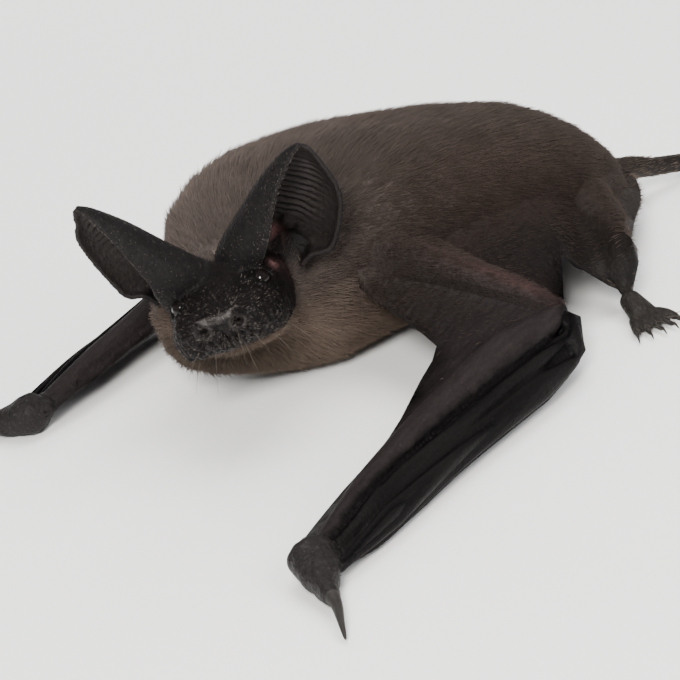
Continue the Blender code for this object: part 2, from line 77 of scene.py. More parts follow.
# y, x, z of the middle, half width, height above, depth below, turn to the left, lean to the right
TRUNK = [
    (44.5, 0.0, 7.0, 2.2, 1.5, 2.0, 0.0, 0.0),
    (43.0, 0.0, 8.0, 7.0, 4.4, 4.6, 0.0, 0.0),
    (38.5, 0.0, 10.6, 12.2, 8.4, 8.2, 0.0, 0.0),
    (30.0, 0.0, 12.8, 15.8, 12.4, 11.2, 0.0, 0.0),
    (20.0, 0.0, 14.3, 17.8, 14.6, 13.2, 2.0, 0.0),
    (8.0, 0.0, 15.3, 19.0, 16.8, 14.6, 6.0, 0.02),
    (-3.0, -0.3, 16.0, 19.4, 18.2, 15.4, 14.0, 0.06),
    (-10.5, -0.4, 16.4, 19.0, 18.2, 15.8, 22.0, 0.12),
    (-17.0, -0.3, 16.4, 18.3, 17.5, 15.8, 30.0, 0.2),
    (-22.5, 1.0, 15.8, 17.2, 15.0, 15.0, 36.0, 0.26),
    (-27.5, 3.6, 14.4, 14.8, 11.0, 13.4, 42.0, 0.22),
    (-32.0, 4.4, 13.4, 13.6, 8.4, 10.8, 46.0, 0.1),
    (-35.2, 6.6, 12.0, 9.8, 5.4, 7.0, 48.0, 0.0),
    (-36.4, 10.4, 10.6, 2.2, 1.6, 2.0, 48.0, 0.0),
]
TRUNK_SQUARE = 2.5  # 2 is an ellipse, more is fuller at the corners
COAT = 1.05  # depth of the coat over the trunk

HEAD_AT = np.array([8.2, -31.0, 18.3])
HEAD_TURN = 60.0  # degrees to its left
HEAD_LIFT = 11.0
HEAD_ROLL = 10.0
# forward, then height of the middle, half width, height above it, depth below it, squareness
SKULL = [
    (-12.5, 0.5, 2.5, 2.5, 2.5, 2.0),
    (-11.0, 0.5, 6.4, 5.8, 5.6, 2.0),
    (-7.0, 0.4, 9.0, 7.6, 7.6, 2.1),
    (-2.0, 0.2, 9.8, 7.8, 8.2, 2.2),
    (2.5, -0.2, 9.6, 6.9, 7.8, 2.3),
    (6.5, -0.9, 8.8, 5.3, 6.6, 2.5),
    (10.5, -1.4, 8.2, 4.3, 5.2, 2.8),
    (13.5, -1.6, 7.3, 3.7, 4.3, 2.8),
    (15.3, -1.6, 5.6, 2.9, 3.3, 2.5),
    (16.0, -1.6, 2.6, 1.4, 1.6, 2.0),
]
CHIN_BACK = 2.4
NAPE_COAT = 0.9  # depth of the coat over the back of the head

# forward, left and up of a rib's middle, half width, depth, dip of its outer end,
# angle of its outer end, angle of its front end, which is reached by going round the back
EAR = [
    (0.0, 6.2, 2.4, 6.0, 5.2, 16.0, 20.0, -262.0),
    (0.5, 7.4, 4.4, 7.2, 5.8, 18.0, 20.0, -265.0),
    (1.6, 10.0, 5.8, 7.9, 5.8, 26.0, 16.0, -256.0),
    (3.0, 12.8, 8.6, 7.4, 5.2, 29.0, 8.0, -247.0),
    (4.8, 15.8, 12.4, 6.3, 4.3, 32.0, 2.0, -236.0),
    (6.4, 17.9, 15.4, 4.7, 3.1, 40.0, 0.0, -228.0),
    (7.6, 18.9, 17.7, 2.8, 1.8, 46.0, 0.0, -222.0),
    (8.3, 19.3, 19.4, 0.8, 0.5, 46.0, 0.0, -218.0),
]
EAR_THICK = 0.8
EAR_RAISE = {"left": -4.5, "right": 14.0}  # degrees towards the crown
EAR_TWIST = {"left": 8.0, "right": 42.0}  # degrees that the opening turns outwards
EAR_FRONT = {"left": 0.0, "right": 26.0}  # degrees by which the front edge is set back
EAR_ROOT = (7.0, 4.0)
NOTCH_AT = 0.84  # place of the notch in the outer margin, from root to tip
NOTCH_TURN = -16.0
# place, share and size of the pads at the bottom of the ear
EAR_PADS = [(0.38, 0.36, 1.25), (0.22, 0.42, 1.35), (0.16, 0.24, 1.5)]
EAR_ROWS, EAR_COLUMNS = 70, 90
print("sections of the trunk, skull and an ear:", len(TRUNK), len(SKULL), len(EAR))

# %% [markdown]
# The wings are folded. The forearm runs from the elbow, held up beside the flank, down to the wrist,
# and the long fingers fold back along it in a bundle. Two webs fill the corners of the arm: one in the
# crook of the elbow, and one from the arm to the flank and the ankle.

# %% Wing, leg and tail tables
WINGS = {
    "left": {
        "side": 1.0,
        "brawn": 0.72,
        "shoulder": (10.0, -9.0, 18.5),
        "elbow": (38.5, 8.6, 8.8),
        "wrist": (60.6, -48.0, 3.8),
        "thumb": (71.2, -50.2, 1.9),
        "claw": (76.6, -52.2, 0.6),
        "web_neck": (16.0, -14.0, 15.0),
        "ankle": (32.0, 23.0, 3.0),
        "toes": (44.0, 22.0, 0.9),
    },
    "right": {
        "side": -1.0,
        "brawn": 1.0,
        "shoulder": (-11.0, -20.5, 19.5),
        "elbow": (-40.0, -7.0, 8.8),
        "wrist": (-12.5, -61.4, 3.8),
        "thumb": (-18.6, -70.6, 1.9),
        "claw": (-22.0, -75.4, 0.6),
        "web_neck": (-14.0, -24.0, 15.0),
        "ankle": (-32.0, 25.0, 3.0),
        "toes": (-43.5, 29.0, 0.9),
    },
}
HIP = (9.0, 31.0, 12.0)
KNEE = (26.0, 27.0, 9.5)
FLANK = (21.0, 20.5, 18.5)
# along the limb from 0 to 1, half width, half height
UPPER_ARM = [
    (0.0, 7.2, 7.6),
    (0.25, 6.0, 6.2),
    (0.5, 4.0, 4.2),
    (0.75, 2.9, 2.9),
    (0.95, 2.7, 2.7),
    (1.0, 2.2, 2.2),
]
FOREARM = [
    (0.0, 2.4, 2.4),
    (0.06, 3.2, 3.0),
    (0.25, 3.6, 3.3),
    (0.5, 3.0, 2.9),
    (0.8, 2.4, 2.3),
    (1.0, 2.2, 2.0),
]
THIGH = [(0.0, 4.4, 4.4), (0.5, 3.6, 4.0), (1.0, 2.5, 2.9)]
SHIN = [(0.0, 3.0, 3.2), (0.3, 2.7, 2.9), (0.7, 1.7, 1.8), (1.0, 1.5, 1.5)]
SOLE = [(0.0, 1.5, 1.6), (0.5, 2.0, 1.7), (1.0, 2.6, 1.3)]
TOE = [(0.0, 0.85, 0.9), (0.6, 0.75, 0.75), (1.0, 0.5, 0.55)]
HAND = [(0.0, 2.8, 2.6), (0.25, 3.5, 3.5), (0.5, 2.8, 2.6), (0.75, 1.3, 1.7), (1.0, 0.9, 1.2)]
BUNDLE_END = [(0.0, 1.8, 1.8), (0.5, 1.4, 1.8), (1.0, 1.3, 1.5)]  # the fold over the knuckles
# place along the forearm, inset of the crook web's free edge, its height
WEB_EDGE = [
    (0.27, 12.2, 8.8),
    (0.42, 9.4, 7.2),
    (0.57, 6.8, 6.0),
    (0.72, 5.6, 5.0),
    (0.86, 4.9, 4.2),
    (1.0, 3.4, 3.4),
]
FOREARM_BOW = ((0.3, 2.3), (0.62, 2.3))  # place, and how far the bone bows towards the crook there
FINGER_STEPS = (0.0, 0.25, 0.5, 0.8, 1.0)  # from the wrist to the end of the folded finger
# outsets from the forearm's line, height at the wrist, at the elbow, reach, half width, half height
FINGERS = {
    "third": ((1.6, 1.2, 1.1, 1.5, 2.6), 3.4, 6.0, 0.97, 1.6, 2.2),
    "fourth": ((4.6, 3.7, 3.4, 4.1, 4.7), 2.8, 3.8, 0.92, 1.5, 1.9),
    "fifth": ((2.8, 3.4, 3.0, 2.4, 2.0), 1.8, 2.0, 0.60, 1.3, 1.3),
}
TAIL = [
    (0.0, 41.0, 9.5, 2.6),
    (0.0, 47.0, 7.2, 2.0),
    (-1.0, 54.0, 4.4, 1.6),
    (-2.5, 63.0, 2.0, 1.4),
    (-4.5, 76.0, 0.9, 1.1),
    (-6.5, 92.5, 0.8, 0.8),
]
WEB_THICK = 0.65
TOES = 5
TOE_SPREAD = 46.0  # degrees
print("rows of the body's tables:", len(TRUNK) + len(SKULL) + len(EAR) + len(TAIL))

# %% [markdown]
# ## Turning tables into shells
# A table gives a section every few millimetres. A Catmull-Rom curve passes through each row and fills
# in the rest, so a handful of numbers makes a smooth body. Every shell below is closed, and the shells
# overlap where the parts of the animal grow into each other.

# %% Curves and shells
def vec(values):
    return np.array(values, dtype=float)


def mix(a, b, share):
    return vec(a) * (1.0 - share) + vec(b) * share


def unit(v):
    return v / np.maximum(np.linalg.norm(v, axis=-1, keepdims=True), 1e-9)


def fade(value, start, end):
    """Rises smoothly from 0 at start to 1 at end."""
    t = np.clip((np.asarray(value, float) - start) / (end - start), 0.0, 1.0)
    return t * t * (3.0 - 2.0 * t)


def along(rows, place):
    """Rows of a table at places from 0 to 1, on a smooth curve through all its rows."""
    rows = vec(rows)
    at = np.asarray(place, float) * (len(rows) - 1)
    i = np.clip(at.astype(int), 0, len(rows) - 2)
    u = (at - i)[..., None]
    before, start = rows[np.maximum(i - 1, 0)], rows[i]
    end, after = rows[i + 1], rows[np.minimum(i + 2, len(rows) - 1)]
    curve = (end - before) * u + (2 * before - 5 * start + 4 * end - after) * u**2
    return start + 0.5 * (curve + (3 * start - before - 3 * end + after) * u**3)


def by_first(rows, value):
    """A table's other columns at values of its first one."""
    rows = vec(rows)
    rows = rows[np.argsort(rows[:, 0])]
    return [np.interp(value, rows[:, 0], rows[:, c]) for c in range(1, rows.shape[1])]


print("half way through a fade:", fade(1.0, 0.0, 2.0))

# %% [markdown]
# ## Rings, sheets and limbs
# A body is a stack of oval rings joined by strips, closed by a point at each end. A membrane is a sheet
# of points given thickness on both sides, with a wall round its rim. A limb is a stack of rings that
# follows a bent path. These three make every shell of the animal.

# %% Closed shells
def ovals(middle, across, up, half, above, below, sides, square=2.0):
    """Rings of points round the middles; every argument but sides has one entry for each ring."""
    turn = 2 * pi * (np.arange(sides) + 0.5) / sides
    power = (2.0 / (np.ones(len(middle)) * square))[:, None]
    c = np.sign(np.cos(turn)) * np.abs(np.cos(turn)) ** power
    s = np.sign(np.sin(turn)) * np.abs(np.sin(turn)) ** power
    tall = np.where(s > 0, vec(above)[:, None], vec(below)[:, None])
    wide = across[:, None] * (vec(half)[:, None] * c)[..., None]
    return middle[:, None] + wide + up[:, None] * (tall * s)[..., None]


def tube(loops):
    """Points and faces of a closed shell over rings of points."""
    rings, sides = loops.shape[:2]
    grid = np.arange(rings * sides).reshape(rings, sides)
    beside = np.roll(grid, -1, axis=1)
    faces = np.stack([grid[:-1], beside[:-1], beside[1:], grid[1:]], -1).reshape(-1, 4).tolist()
    for ring, end in ((0, rings * sides), (rings - 1, rings * sides + 1)):
        faces += [(int(a), int(b), end) for a, b in zip(grid[ring], beside[ring])]
    points = np.vstack([loops.reshape(-1, 3), loops[0].mean(axis=0), loops[-1].mean(axis=0)])
    return points, faces


def slab(rows, thick):
    """Points and faces of a closed shell, thick on both sides of a grid of points."""
    down, side = np.gradient(rows, axis=0), np.gradient(rows, axis=1)
    normal = unit(np.cross(side, down))
    half = (np.ones(rows.shape[:2]) * thick)[..., None] / 2
    count = rows.shape[0] * rows.shape[1]
    grid = np.arange(count).reshape(rows.shape[:2])
    quads = np.stack([grid[:-1, :-1], grid[:-1, 1:], grid[1:, 1:], grid[1:, :-1]], -1).reshape(-1, 4)
    rim = np.concatenate([grid[0, :-1], grid[:-1, -1], grid[-1, :0:-1], grid[:0:-1, 0]])
    after = np.roll(rim, -1)
    wall = np.stack([after, rim, rim + count, after + count], -1)
    points = np.vstack([(rows + normal * half).reshape(-1, 3), (rows - normal * half).reshape(-1, 3)])
    return points, quads.tolist() + (quads[:, ::-1] + count).tolist() + wall.tolist()


def limb(path, sizes, sides, rings):
    """A round limb along a path; sizes are rows of place, half width and half height."""
    place = np.linspace(0.0, 1.0, rings)
    ahead = unit(along(path, np.minimum(place + 0.02, 1.0)) - along(path, np.maximum(place - 0.02, 0.0)))
    across = unit(np.cross(ahead, (0.0, 0.0, 1.0)))
    half, tall = by_first(sizes, place)
    end = np.clip(np.minimum(3.0 * place, 3.0 * (1.0 - place)) + 0.35, 0.35, 1.0)
    up = np.cross(across, ahead)
    return tube(ovals(along(path, place), across, up, half * end, tall * end, tall * end, sides))


def web(inner, outer, rings, columns, thick=WEB_THICK):
    """A membrane between two lines."""
    place = np.linspace(0.0, 1.0, rings)
    share = np.linspace(0.0, 1.0, columns)[None, :, None]
    near, far = along(inner, place)[:, None], along(outer, place)[:, None]
    return slab(near * (1.0 - share) + far * share, thick)


flesh = []  # every shell: its name, points and faces


def add_flesh(name, shell):
    flesh.append((name, shell[0], shell[1]))


test_limb = limb([(0.0, 0.0, 0.0), (10.0, 0.0, 0.0)], [(0.0, 1.0, 1.0), (1.0, 1.0, 1.0)], 12, 8)
print("a plain limb of 8 rings:", len(test_limb[0]), "points,", len(test_limb[1]), "faces")

# %% [markdown]
# ## Trunk and head
# The solids reach to the tips of the hair, so the skin's sections are drawn in by the coat's depth.
# The head has its own axes, because it is turned, lifted and tilted on the neck.

# %% Trunk and skull shells
def trunk_shell():
    y, x, z, half, above, below, turn, lean = along(TRUNK, np.linspace(0.0, 1.0, 100)).T
    turn = np.radians(turn)
    middle = (y.max() + y.min()) / 2
    y = middle + (y - middle) * (1.0 - 2 * COAT / (y.max() - y.min()))
    across = np.stack([np.cos(turn), np.sin(turn), 0 * turn], -1)
    up = vec((0, 0, 1)) - across * lean[:, None]
    sizes = [np.maximum(size - COAT, 0.8) for size in (half, above, below)]
    return tube(ovals(np.stack([x, y, z], -1), across, up, *sizes, 110, TRUNK_SQUARE))


def head_axes():
    turn, lift, roll = radians(HEAD_TURN), radians(HEAD_LIFT), radians(HEAD_ROLL)
    forward = vec((sin(turn) * cos(lift), -cos(turn) * cos(lift), sin(lift)))
    level = vec((cos(turn), sin(turn), 0.0))
    crown = -np.cross(level, forward)
    return np.stack([forward, level * cos(roll) + crown * sin(roll), crown * cos(roll) - level * sin(roll)])


HEAD = head_axes()


def on_head(local):
    """Points given as forward, left and up of the head's middle."""
    return HEAD_AT + vec(local) @ HEAD


def in_head(points):
    """The reverse of on_head."""
    return (points - HEAD_AT) @ HEAD.T


def both_sides(local):
    """Head places folded onto the left side, so that what is done there is done on both."""
    return local * (1.0, 0.0, 1.0) + np.abs(local) * (0.0, 1.0, 0.0)


def skull_shell():
    forward, height, half, above, below, square = along(SKULL, np.linspace(0.0, 1.0, 90)).T
    coat = NAPE_COAT * fade(forward, 3.0, -4.0)
    middle = np.stack([forward, 0 * forward, height], -1)
    across = np.tile(vec((0, 1, 0)), (len(forward), 1))
    up = np.tile(vec((0, 0, 1)), (len(forward), 1))
    sizes = [np.maximum(size - coat, 0.6) for size in (half, above, below)]
    loops = ovals(middle, across, up, *sizes, 110, square)
    low = np.maximum(0.0, (middle[:, None, 2] - loops[..., 2]) / below[:, None])
    loops[..., 0] -= CHIN_BACK * np.clip((forward - 7.0) / 7.0, 0.0, 1.0)[:, None] * low
    return tube(on_head(loops))


add_flesh("trunk", trunk_shell())
add_flesh("head", skull_shell())
print("length of the head:", SKULL[-1][0] - SKULL[0][0], "mm")

# %% [markdown]
# ## Ears
# Each ear is a folded sail: a rib starts at the outer margin, goes round the back and comes forward to
# the hairy front edge, so the section is an open ring. The ribs shrink towards the tip. The margin is
# thickened, the outer margin bulges in a rounded lobe below a notch, and a small upright lobe, the
# antitragus, closes its foot.

# %% Ear shells
def ear_point(side, place, share):
    """A point of the ear's middle sheet: place runs from root to tip, share from outer to front edge."""
    forward, left, up, half, deep, dip, first, last = np.moveaxis(along(EAR, place), -1, 0)
    dip, twist, lift = np.radians(dip), radians(EAR_TWIST[side]), radians(EAR_RAISE[side])
    last = last + EAR_FRONT[side] * np.minimum(1.0, 3.0 * vec(place))
    first = first + NOTCH_TURN * fade(place, NOTCH_AT - 0.06, NOTCH_AT + 0.03)
    turn = np.radians(first + (last - first) * share)
    out = half * np.cos(turn) * cos(twist) + deep * np.sin(turn) * sin(twist)
    ahead = deep * np.sin(turn) * cos(twist) - half * np.cos(turn) * sin(twist)
    aside = left + out * np.cos(dip) - EAR_ROOT[0]
    above = up - out * np.sin(dip) - EAR_ROOT[1]
    across = EAR_ROOT[0] + aside * cos(lift) - above * sin(lift)
    height = EAR_ROOT[1] + above * cos(lift) + aside * sin(lift)
    return on_head(np.stack([forward + ahead, WINGS[side]["side"] * across, height], -1))


def ear_grid():
    """Place and share of every point of an ear's sheet."""
    return np.meshgrid(np.linspace(0.0, 1.0, EAR_ROWS), np.linspace(0.0, 1.0, EAR_COLUMNS), indexing="ij")


def ear_shell(side):
    place, share = ear_grid()
    rim = np.minimum(share, 1.0 - share)
    thick = EAR_THICK * (0.8 + 0.35 * fade(rim, 0.045, 0.0))
    return slab(ear_point(side, place, share), thick)


def ball(middle, size, rings=12, sides=20):
    """A small round shell."""
    lift = np.linspace(-1.5, 1.5, rings)
    middles = vec(middle) + (size * np.sin(lift))[:, None] * vec((0, 0, 1))
    wide = size * np.cos(lift)
    across, ahead = (np.tile(vec(way), (rings, 1)) for way in ((1, 0, 0), (0, 1, 0)))
    return tube(ovals(middles, across, ahead, wide, wide, wide, sides))


for side in WINGS:
    add_flesh("ear_" + side, ear_shell(side))
    for place, share, size in EAR_PADS:
        wall, hollow = ear_point(side, vec([place, place]), vec([share, 1.0]))
        add_flesh("pad_" + side, ball(wall + unit(hollow - wall) * size * 0.5, size))
print("ear shells:", sum(name.startswith(("ear", "pad")) for name, _, _ in flesh))

# %% [markdown]
# ## Wings, legs and tail
# Arms, fingers and toes are limbs: an oval swept along a path. The folded wing shows the forearm as one
# smooth spindle and the fingers as a bundle below it, with the slack membrane pleated between them.

# %% Wing shells
def beside_forearm(wing, place, out, height):
    elbow, wrist = vec(wing["elbow"]), vec(wing["wrist"])
    run = wrist - elbow
    level = unit(vec((run[0], run[1], 0.0)))
    outward = vec((-level[1], level[0], 0.0)) * wing["side"]
    point = elbow + run * place + outward * out
    point[2] = height
    return point


def forearm_path(wing):
    """The forearm is bowed towards the crook, which leaves room for the fingers beside it."""
    path = [vec(wing["elbow"])]
    for place, bow in FOREARM_BOW:
        path.append(beside_forearm(wing, place, -bow, mix(wing["elbow"], wing["wrist"], place)[2]))
    return path + [vec(wing["wrist"])]


def finger_path(wing, plan):
    outs, low, high, reach = plan[:4]
    heights = [low + (high - low) * share for share in FINGER_STEPS]
    steps = zip(FINGER_STEPS, outs, heights)
    return [beside_forearm(wing, 1.0 - reach * share, out, height) for share, out, height in steps]


def lower(path, by, inward, wing):
    """A path moved down and towards the forearm."""
    shift = beside_forearm(wing, 0.0, -inward, 0.0) - beside_forearm(wing, 0.0, 0.0, 0.0)
    return [vec(p) + shift - vec((0, 0, by)) for p in path]


def add_wing(side, wing):
    shoulder, elbow, wrist = vec(wing["shoulder"]), vec(wing["elbow"]), vec(wing["wrist"])
    brawn = [1.0 - (1.0 - wing["brawn"]) * (1.0 - row[0]) for row in UPPER_ARM]
    sizes = [(row[0], row[1] * b * 0.9, row[2] * b * 0.9) for row, b in zip(UPPER_ARM, brawn)]
    add_flesh("upper_arm_" + side, limb([shoulder, mix(shoulder, elbow, 0.5), elbow], sizes, 40, 60))
    add_flesh("forearm_" + side, limb(forearm_path(wing), FOREARM, 40, 90))
    paths = {}
    for name, plan in FINGERS.items():
        half, tall = plan[4:]
        paths[name] = finger_path(wing, plan)
        sizes = [(0.0, 1.1, 1.2), (0.2, half, tall), (0.8, half * 1.15, tall * 1.1), (1.0, half, tall)]
        add_flesh("finger_" + side, limb(paths[name], sizes, 28, 80))
    bone = along(forearm_path(wing), 1.0 - FINGERS["third"][3] * vec(FINGER_STEPS))
    below_bone, below_third = lower(bone, 0.8, 0.0, wing), lower(paths["third"], 0.9, 0.0, wing)
    add_flesh("pleat_" + side, web(below_bone, below_third, 80, 14))
    add_flesh("pleat_" + side, web(below_third, lower(paths["fourth"], 0.7, 0.0, wing), 80, 12))
    ends = [elbow - vec((0, 0, 0.6)), mix(paths["third"][-1], wrist, 0.01), paths["fourth"][-1]]
    add_flesh("pleat_" + side, limb(ends, BUNDLE_END, 24, 30))
    half_way = lower(paths["fourth"], 0.9, 0.6, wing)
    add_flesh("pleat_" + side, web(half_way, lower(half_way, 0.9, 2.4, wing), 60, 10))


forearm = np.linalg.norm(vec(WINGS["left"]["wrist"]) - vec(WINGS["left"]["elbow"]))
print("forearm, elbow to wrist:", round(float(forearm), 1), "mm")

# %% [markdown]
# ## Webs and hands
# The membrane is one skin in life. It is made as two sheets here, each stretched between two lines. The
# one in the crook runs from the bones of the arm to its free edge, and the other from the flank to the
# arm. The hand is a short thick limb, since the bat walks on the pad of its wrist and thumb.

# %% Web and hand shells
def add_webs(side, wing):
    shoulder, elbow, wrist = vec(wing["shoulder"]), vec(wing["elbow"]), vec(wing["wrist"])
    crook = beside_forearm(wing, 0.04, -1.5, elbow[2])
    inner = [shoulder, mix(shoulder, elbow, 0.5), mix(shoulder, elbow, 0.8), crook]
    bend = beside_forearm(wing, WEB_EDGE[0][0], -WEB_EDGE[0][1], WEB_EDGE[0][2])
    outer = [vec(wing["web_neck"]), mix(wing["web_neck"], bend, 0.45) + vec((0, 0, 0.6))]
    outer += [mix(wing["web_neck"], bend, 0.8) + vec((0, 0, 0.4)), bend]
    for place, inset, height in WEB_EDGE[1:]:
        inner.append(along(forearm_path(wing), place))
        outer.append(beside_forearm(wing, place, -inset, height))
    add_flesh("crook_web_" + side, web(inner, outer, 120, 40))
    way = vec((wing["side"], 1.0, 1.0))
    flank, ankle = vec(FLANK) * way, vec(wing["ankle"])
    edge = mix(elbow, flank, 0.45)
    slack = vec((-2.6 * wing["side"], 0.0, 0.0))
    inner = [(15, 2, 18.5), (16, 12, 18), (15.5, 20.5, 17), (16, 26.5, 13), (23.5, 27.5, 10)]
    inner = [shoulder + vec((0, 4.0, 0))] + [vec(p) * way for p in inner] + [ankle + vec((0, 1.2, 0.8))]
    outer = [mix(shoulder, elbow, 0.45), mix(shoulder, elbow, 0.95), mix(elbow, flank, 0.12), edge]
    outer += [mix(edge, ankle, 0.35) + slack, mix(edge, ankle, 0.7) + slack * 0.5, ankle]
    add_flesh("flank_web_" + side, web(inner, outer, 110, 50))


def add_hand(side, wing):
    wrist, thumb = vec(wing["wrist"]), vec(wing["thumb"])
    path = [wrist + unit(wrist - thumb) * 3.4, wrist]
    path += [mix(wrist, thumb, 0.35), mix(wrist, thumb, 0.7), thumb]
    path = [vec((p[0], p[1], z)) for p, z in zip(path, (3.6, 3.2, 2.5, 2.0, thumb[2]))]
    add_flesh("hand_" + side, limb(path, HAND, 36, 50))


for side, wing in WINGS.items():
    add_wing(side, wing)
    add_webs(side, wing)
    add_hand(side, wing)
print("shells with the wings:", len(flesh))

# %% [markdown]
# The hind legs stand beside the root of the tail, with their five-toed feet flat on the floor. The toes
# fan out from the ball of the foot, so one loop makes them. A third web runs from each leg to the tail,
# which goes on far past its edge, as it does in every free-tailed bat.

# %% Leg and tail shells
def toe_paths(wing):
    """The line of each toe, from the ball of the foot to the tip of its claw."""
    ankle, toes = vec(wing["ankle"]), vec(wing["toes"])
    ahead = unit(vec((toes[0] - ankle[0], toes[1] - ankle[1], 0.0)))
    across = vec((-ahead[1], ahead[0], 0.0))
    ball = mix(ankle, toes, 0.5)
    ball[2] = 1.1
    reach = np.linalg.norm(toes - ankle) * 0.56
    paths = []
    for k in range(TOES):
        share = k / (TOES - 1) - 0.5
        way = ahead * cos(radians(TOE_SPREAD) * share) + across * sin(radians(TOE_SPREAD) * share)
        root = ball + across * share * 3.6 - ahead * 1.2
        path = [root] + [root + way * reach * far for far in (0.4, 0.75, 1.0)]
        path[1][2] += 0.2
        path[2][2], path[3][2] = 0.8, 0.35
        paths.append(path)
    return ball, paths


def add_leg(side, wing):
    way = vec((wing["side"], 1.0, 1.0))
    hip, knee, ankle = vec(HIP) * way, vec(KNEE) * way, vec(wing["ankle"])
    past = knee + unit(knee - hip) * 2.0
    add_flesh("thigh_" + side, limb([hip, mix(hip, knee, 0.5), past], THIGH, 32, 40))
    path = [knee, mix(knee, ankle, 0.5) + vec((wing["side"], 0, 0.4)), ankle]
    add_flesh("shin_" + side, limb(path, SHIN, 28, 50))
    ball, toes = toe_paths(wing)
    add_flesh("foot_" + side, limb([ankle, mix(ankle, ball, 0.5), ball], SOLE, 28, 30))
    for path in toes:
        add_flesh("foot_" + side, limb(path[:3], TOE, 14, 24))
    inner = [(25.5, 26.5, 9.0), (17.0, 31.5, 9.5), (8.5, 38.5, 8.8), (0.0, 41.0, 8.0)]
    outer = [(30.0, 25.0, 4.2), (19.0, 34.0, 5.4), (9.5, 43.0, 6.2), (0.0, 47.4, 6.8)]
    add_flesh("tail_web_" + side, web(vec(inner) * way, vec(outer) * way, 60, 24))


for side, wing in WINGS.items():
    add_leg(side, wing)
sizes = [(i / (len(TAIL) - 1), row[3], row[3]) for i, row in enumerate(TAIL)]
add_flesh("tail", limb([row[:3] for row in TAIL], sizes, 24, 150))
print("shells:", len(flesh), "points:", sum(len(shell[1]) for shell in flesh))

# %% [markdown]
# ## One skin
# The shells overlap but don't share a surface. Blender's voxel Remesh wraps everything in one closed
# skin, as shrink wrap would, in steps of about a quarter of a millimetre. A few rounds of smoothing melt
# the steps and round the inner corners, so a limb grows out of the body with no seam.

# %% Mesh helpers
VOXEL = 0.28  # millimetres
SMOOTHING = 3  # rounds


def object_from(name, points, faces):
    """A mesh object from points in the drawing's millimetres."""
    mesh = bpy.data.meshes.new(name)
    mesh.from_pydata(((points - MIDDLE) * MM).tolist(), [], faces)
    made = bpy.data.objects.new(name, mesh)
    bpy.context.scene.collection.objects.link(made)
    return made


def applied(made):
    """Replaces an object's mesh with the outcome of its modifiers."""
    bpy.context.view_layer.update()
    result = bpy.data.meshes.new_from_object(made.evaluated_get(bpy.context.evaluated_depsgraph_get()))
    old = made.data
    made.modifiers.clear()
    made.data = result
    bpy.data.meshes.remove(old)
    result.name = made.name
    return made


def wrap():
    """All the shells as one object, wrapped."""
    points, faces, start = [], [], 0
    for _, shell, sides in flesh:
        points.append(shell)
        faces += [tuple(i + start for i in face) for face in sides]
        start += len(shell)
    made = object_from("bat_skin", np.vstack(points), faces)
    shrink = made.modifiers.new("wrap", "REMESH")
    shrink.mode = "VOXEL"
    shrink.voxel_size = VOXEL * MM
    return applied(made)


def read_points(mesh):
    """A mesh's points in the drawing's millimetres."""
    flat = np.empty(len(mesh.vertices) * 3, dtype=np.float32)
    mesh.vertices.foreach_get("co", flat)
    return flat.reshape(-1, 3).astype(float) / MM + MIDDLE


def write_points(mesh, points):
    mesh.vertices.foreach_set("co", ((points - MIDDLE) * MM).astype(np.float32).ravel())
    mesh.update()


def read_normals(mesh):
    flat = np.empty(len(mesh.vertices) * 3, dtype=np.float32)
    mesh.vertex_normals.foreach_get("vector", flat)
    return flat.reshape(-1, 3).astype(float)


def edges_of(mesh):
    """The two point numbers of every edge."""
    flat = np.empty(len(mesh.edges) * 2, dtype=np.int32)
    mesh.edges.foreach_get("vertices", flat)
    return flat.reshape(-1, 2)


print("wrap:", VOXEL, "mm voxels over", len(flesh), "shells")

# %% [markdown]
# ## Melting the steps
# Wax gets smooth when it is warmed, because every bump sinks towards what is beside it. Here each point
# drifts a little towards the mean of its neighbours, a few times over. The same drift later softens
# the borders of colours and of the coat.

# %% Wrap the shells
def spread(values, edges, rounds, share=0.5):
    """Lets every value drift towards the mean of its neighbours."""
    values = values.astype(float)
    count = np.bincount(edges.ravel(), minlength=len(values))
    columns = values.reshape(len(values), -1)
    one, other = edges.T
    for _ in range(rounds):
        sums = [np.bincount(one, c[other], len(c)) + np.bincount(other, c[one], len(c)) for c in columns.T]
        columns = columns * (1.0 - share) + share * np.stack(sums, -1) / np.maximum(count, 1)[:, None]
    return columns.reshape(values.shape)


skin = wrap()
points = spread(read_points(skin.data), edges_of(skin.data), SMOOTHING)
points[:, 2] = np.maximum(points[:, 2], 0.0)
write_points(skin.data, points)
print("wrapped skin:", len(points), "points")

# %% [markdown]
# ## Finding one's way on the skin
# Later steps ask which part of the animal a point of the skin belongs to. The nearest point of the
# shells answers that, looked up in a k-d tree, which sorts points in space as an index sorts words.

# %% Label the skin
PARTS = sorted({shell[0] for shell in flesh})
shell_points = np.vstack([shell[1] for shell in flesh])
shell_part = np.repeat([PARTS.index(shell[0]) for shell in flesh], [len(shell[1]) for shell in flesh])


def tree_of(points):
    tree = KDTree(len(points))
    for i, point in enumerate(points.tolist()):
        tree.insert(point, i)
    tree.balance()
    return tree


shell_tree = tree_of(shell_points)


def nearest_shell(points):
    """The nearest shell point's number for every point."""
    return np.array([shell_tree.find(point)[1] for point in points.tolist()])


def is_part(labels, *beginnings):
    chosen = [i for i, name in enumerate(PARTS) if name.startswith(beginnings)]
    return np.isin(labels, chosen)


def lumps(points, size, seed=0.0):
    """Smooth random heights from about -1 to 1, with hills about size millimetres apart."""
    return np.array([noise.noise(p) for p in (points / size + seed).tolist()])


edges = edges_of(skin.data)
nearest = nearest_shell(points)
labels = shell_part[nearest]
print("parts:", len(PARTS))

# %% [markdown]
# ## The two sides of an ear
# The inside of an ear is bare, ridged and lit through, and the outside is dark and lightly haired. The
# shells remember how far up and across the ear each of their points is, and on which side.

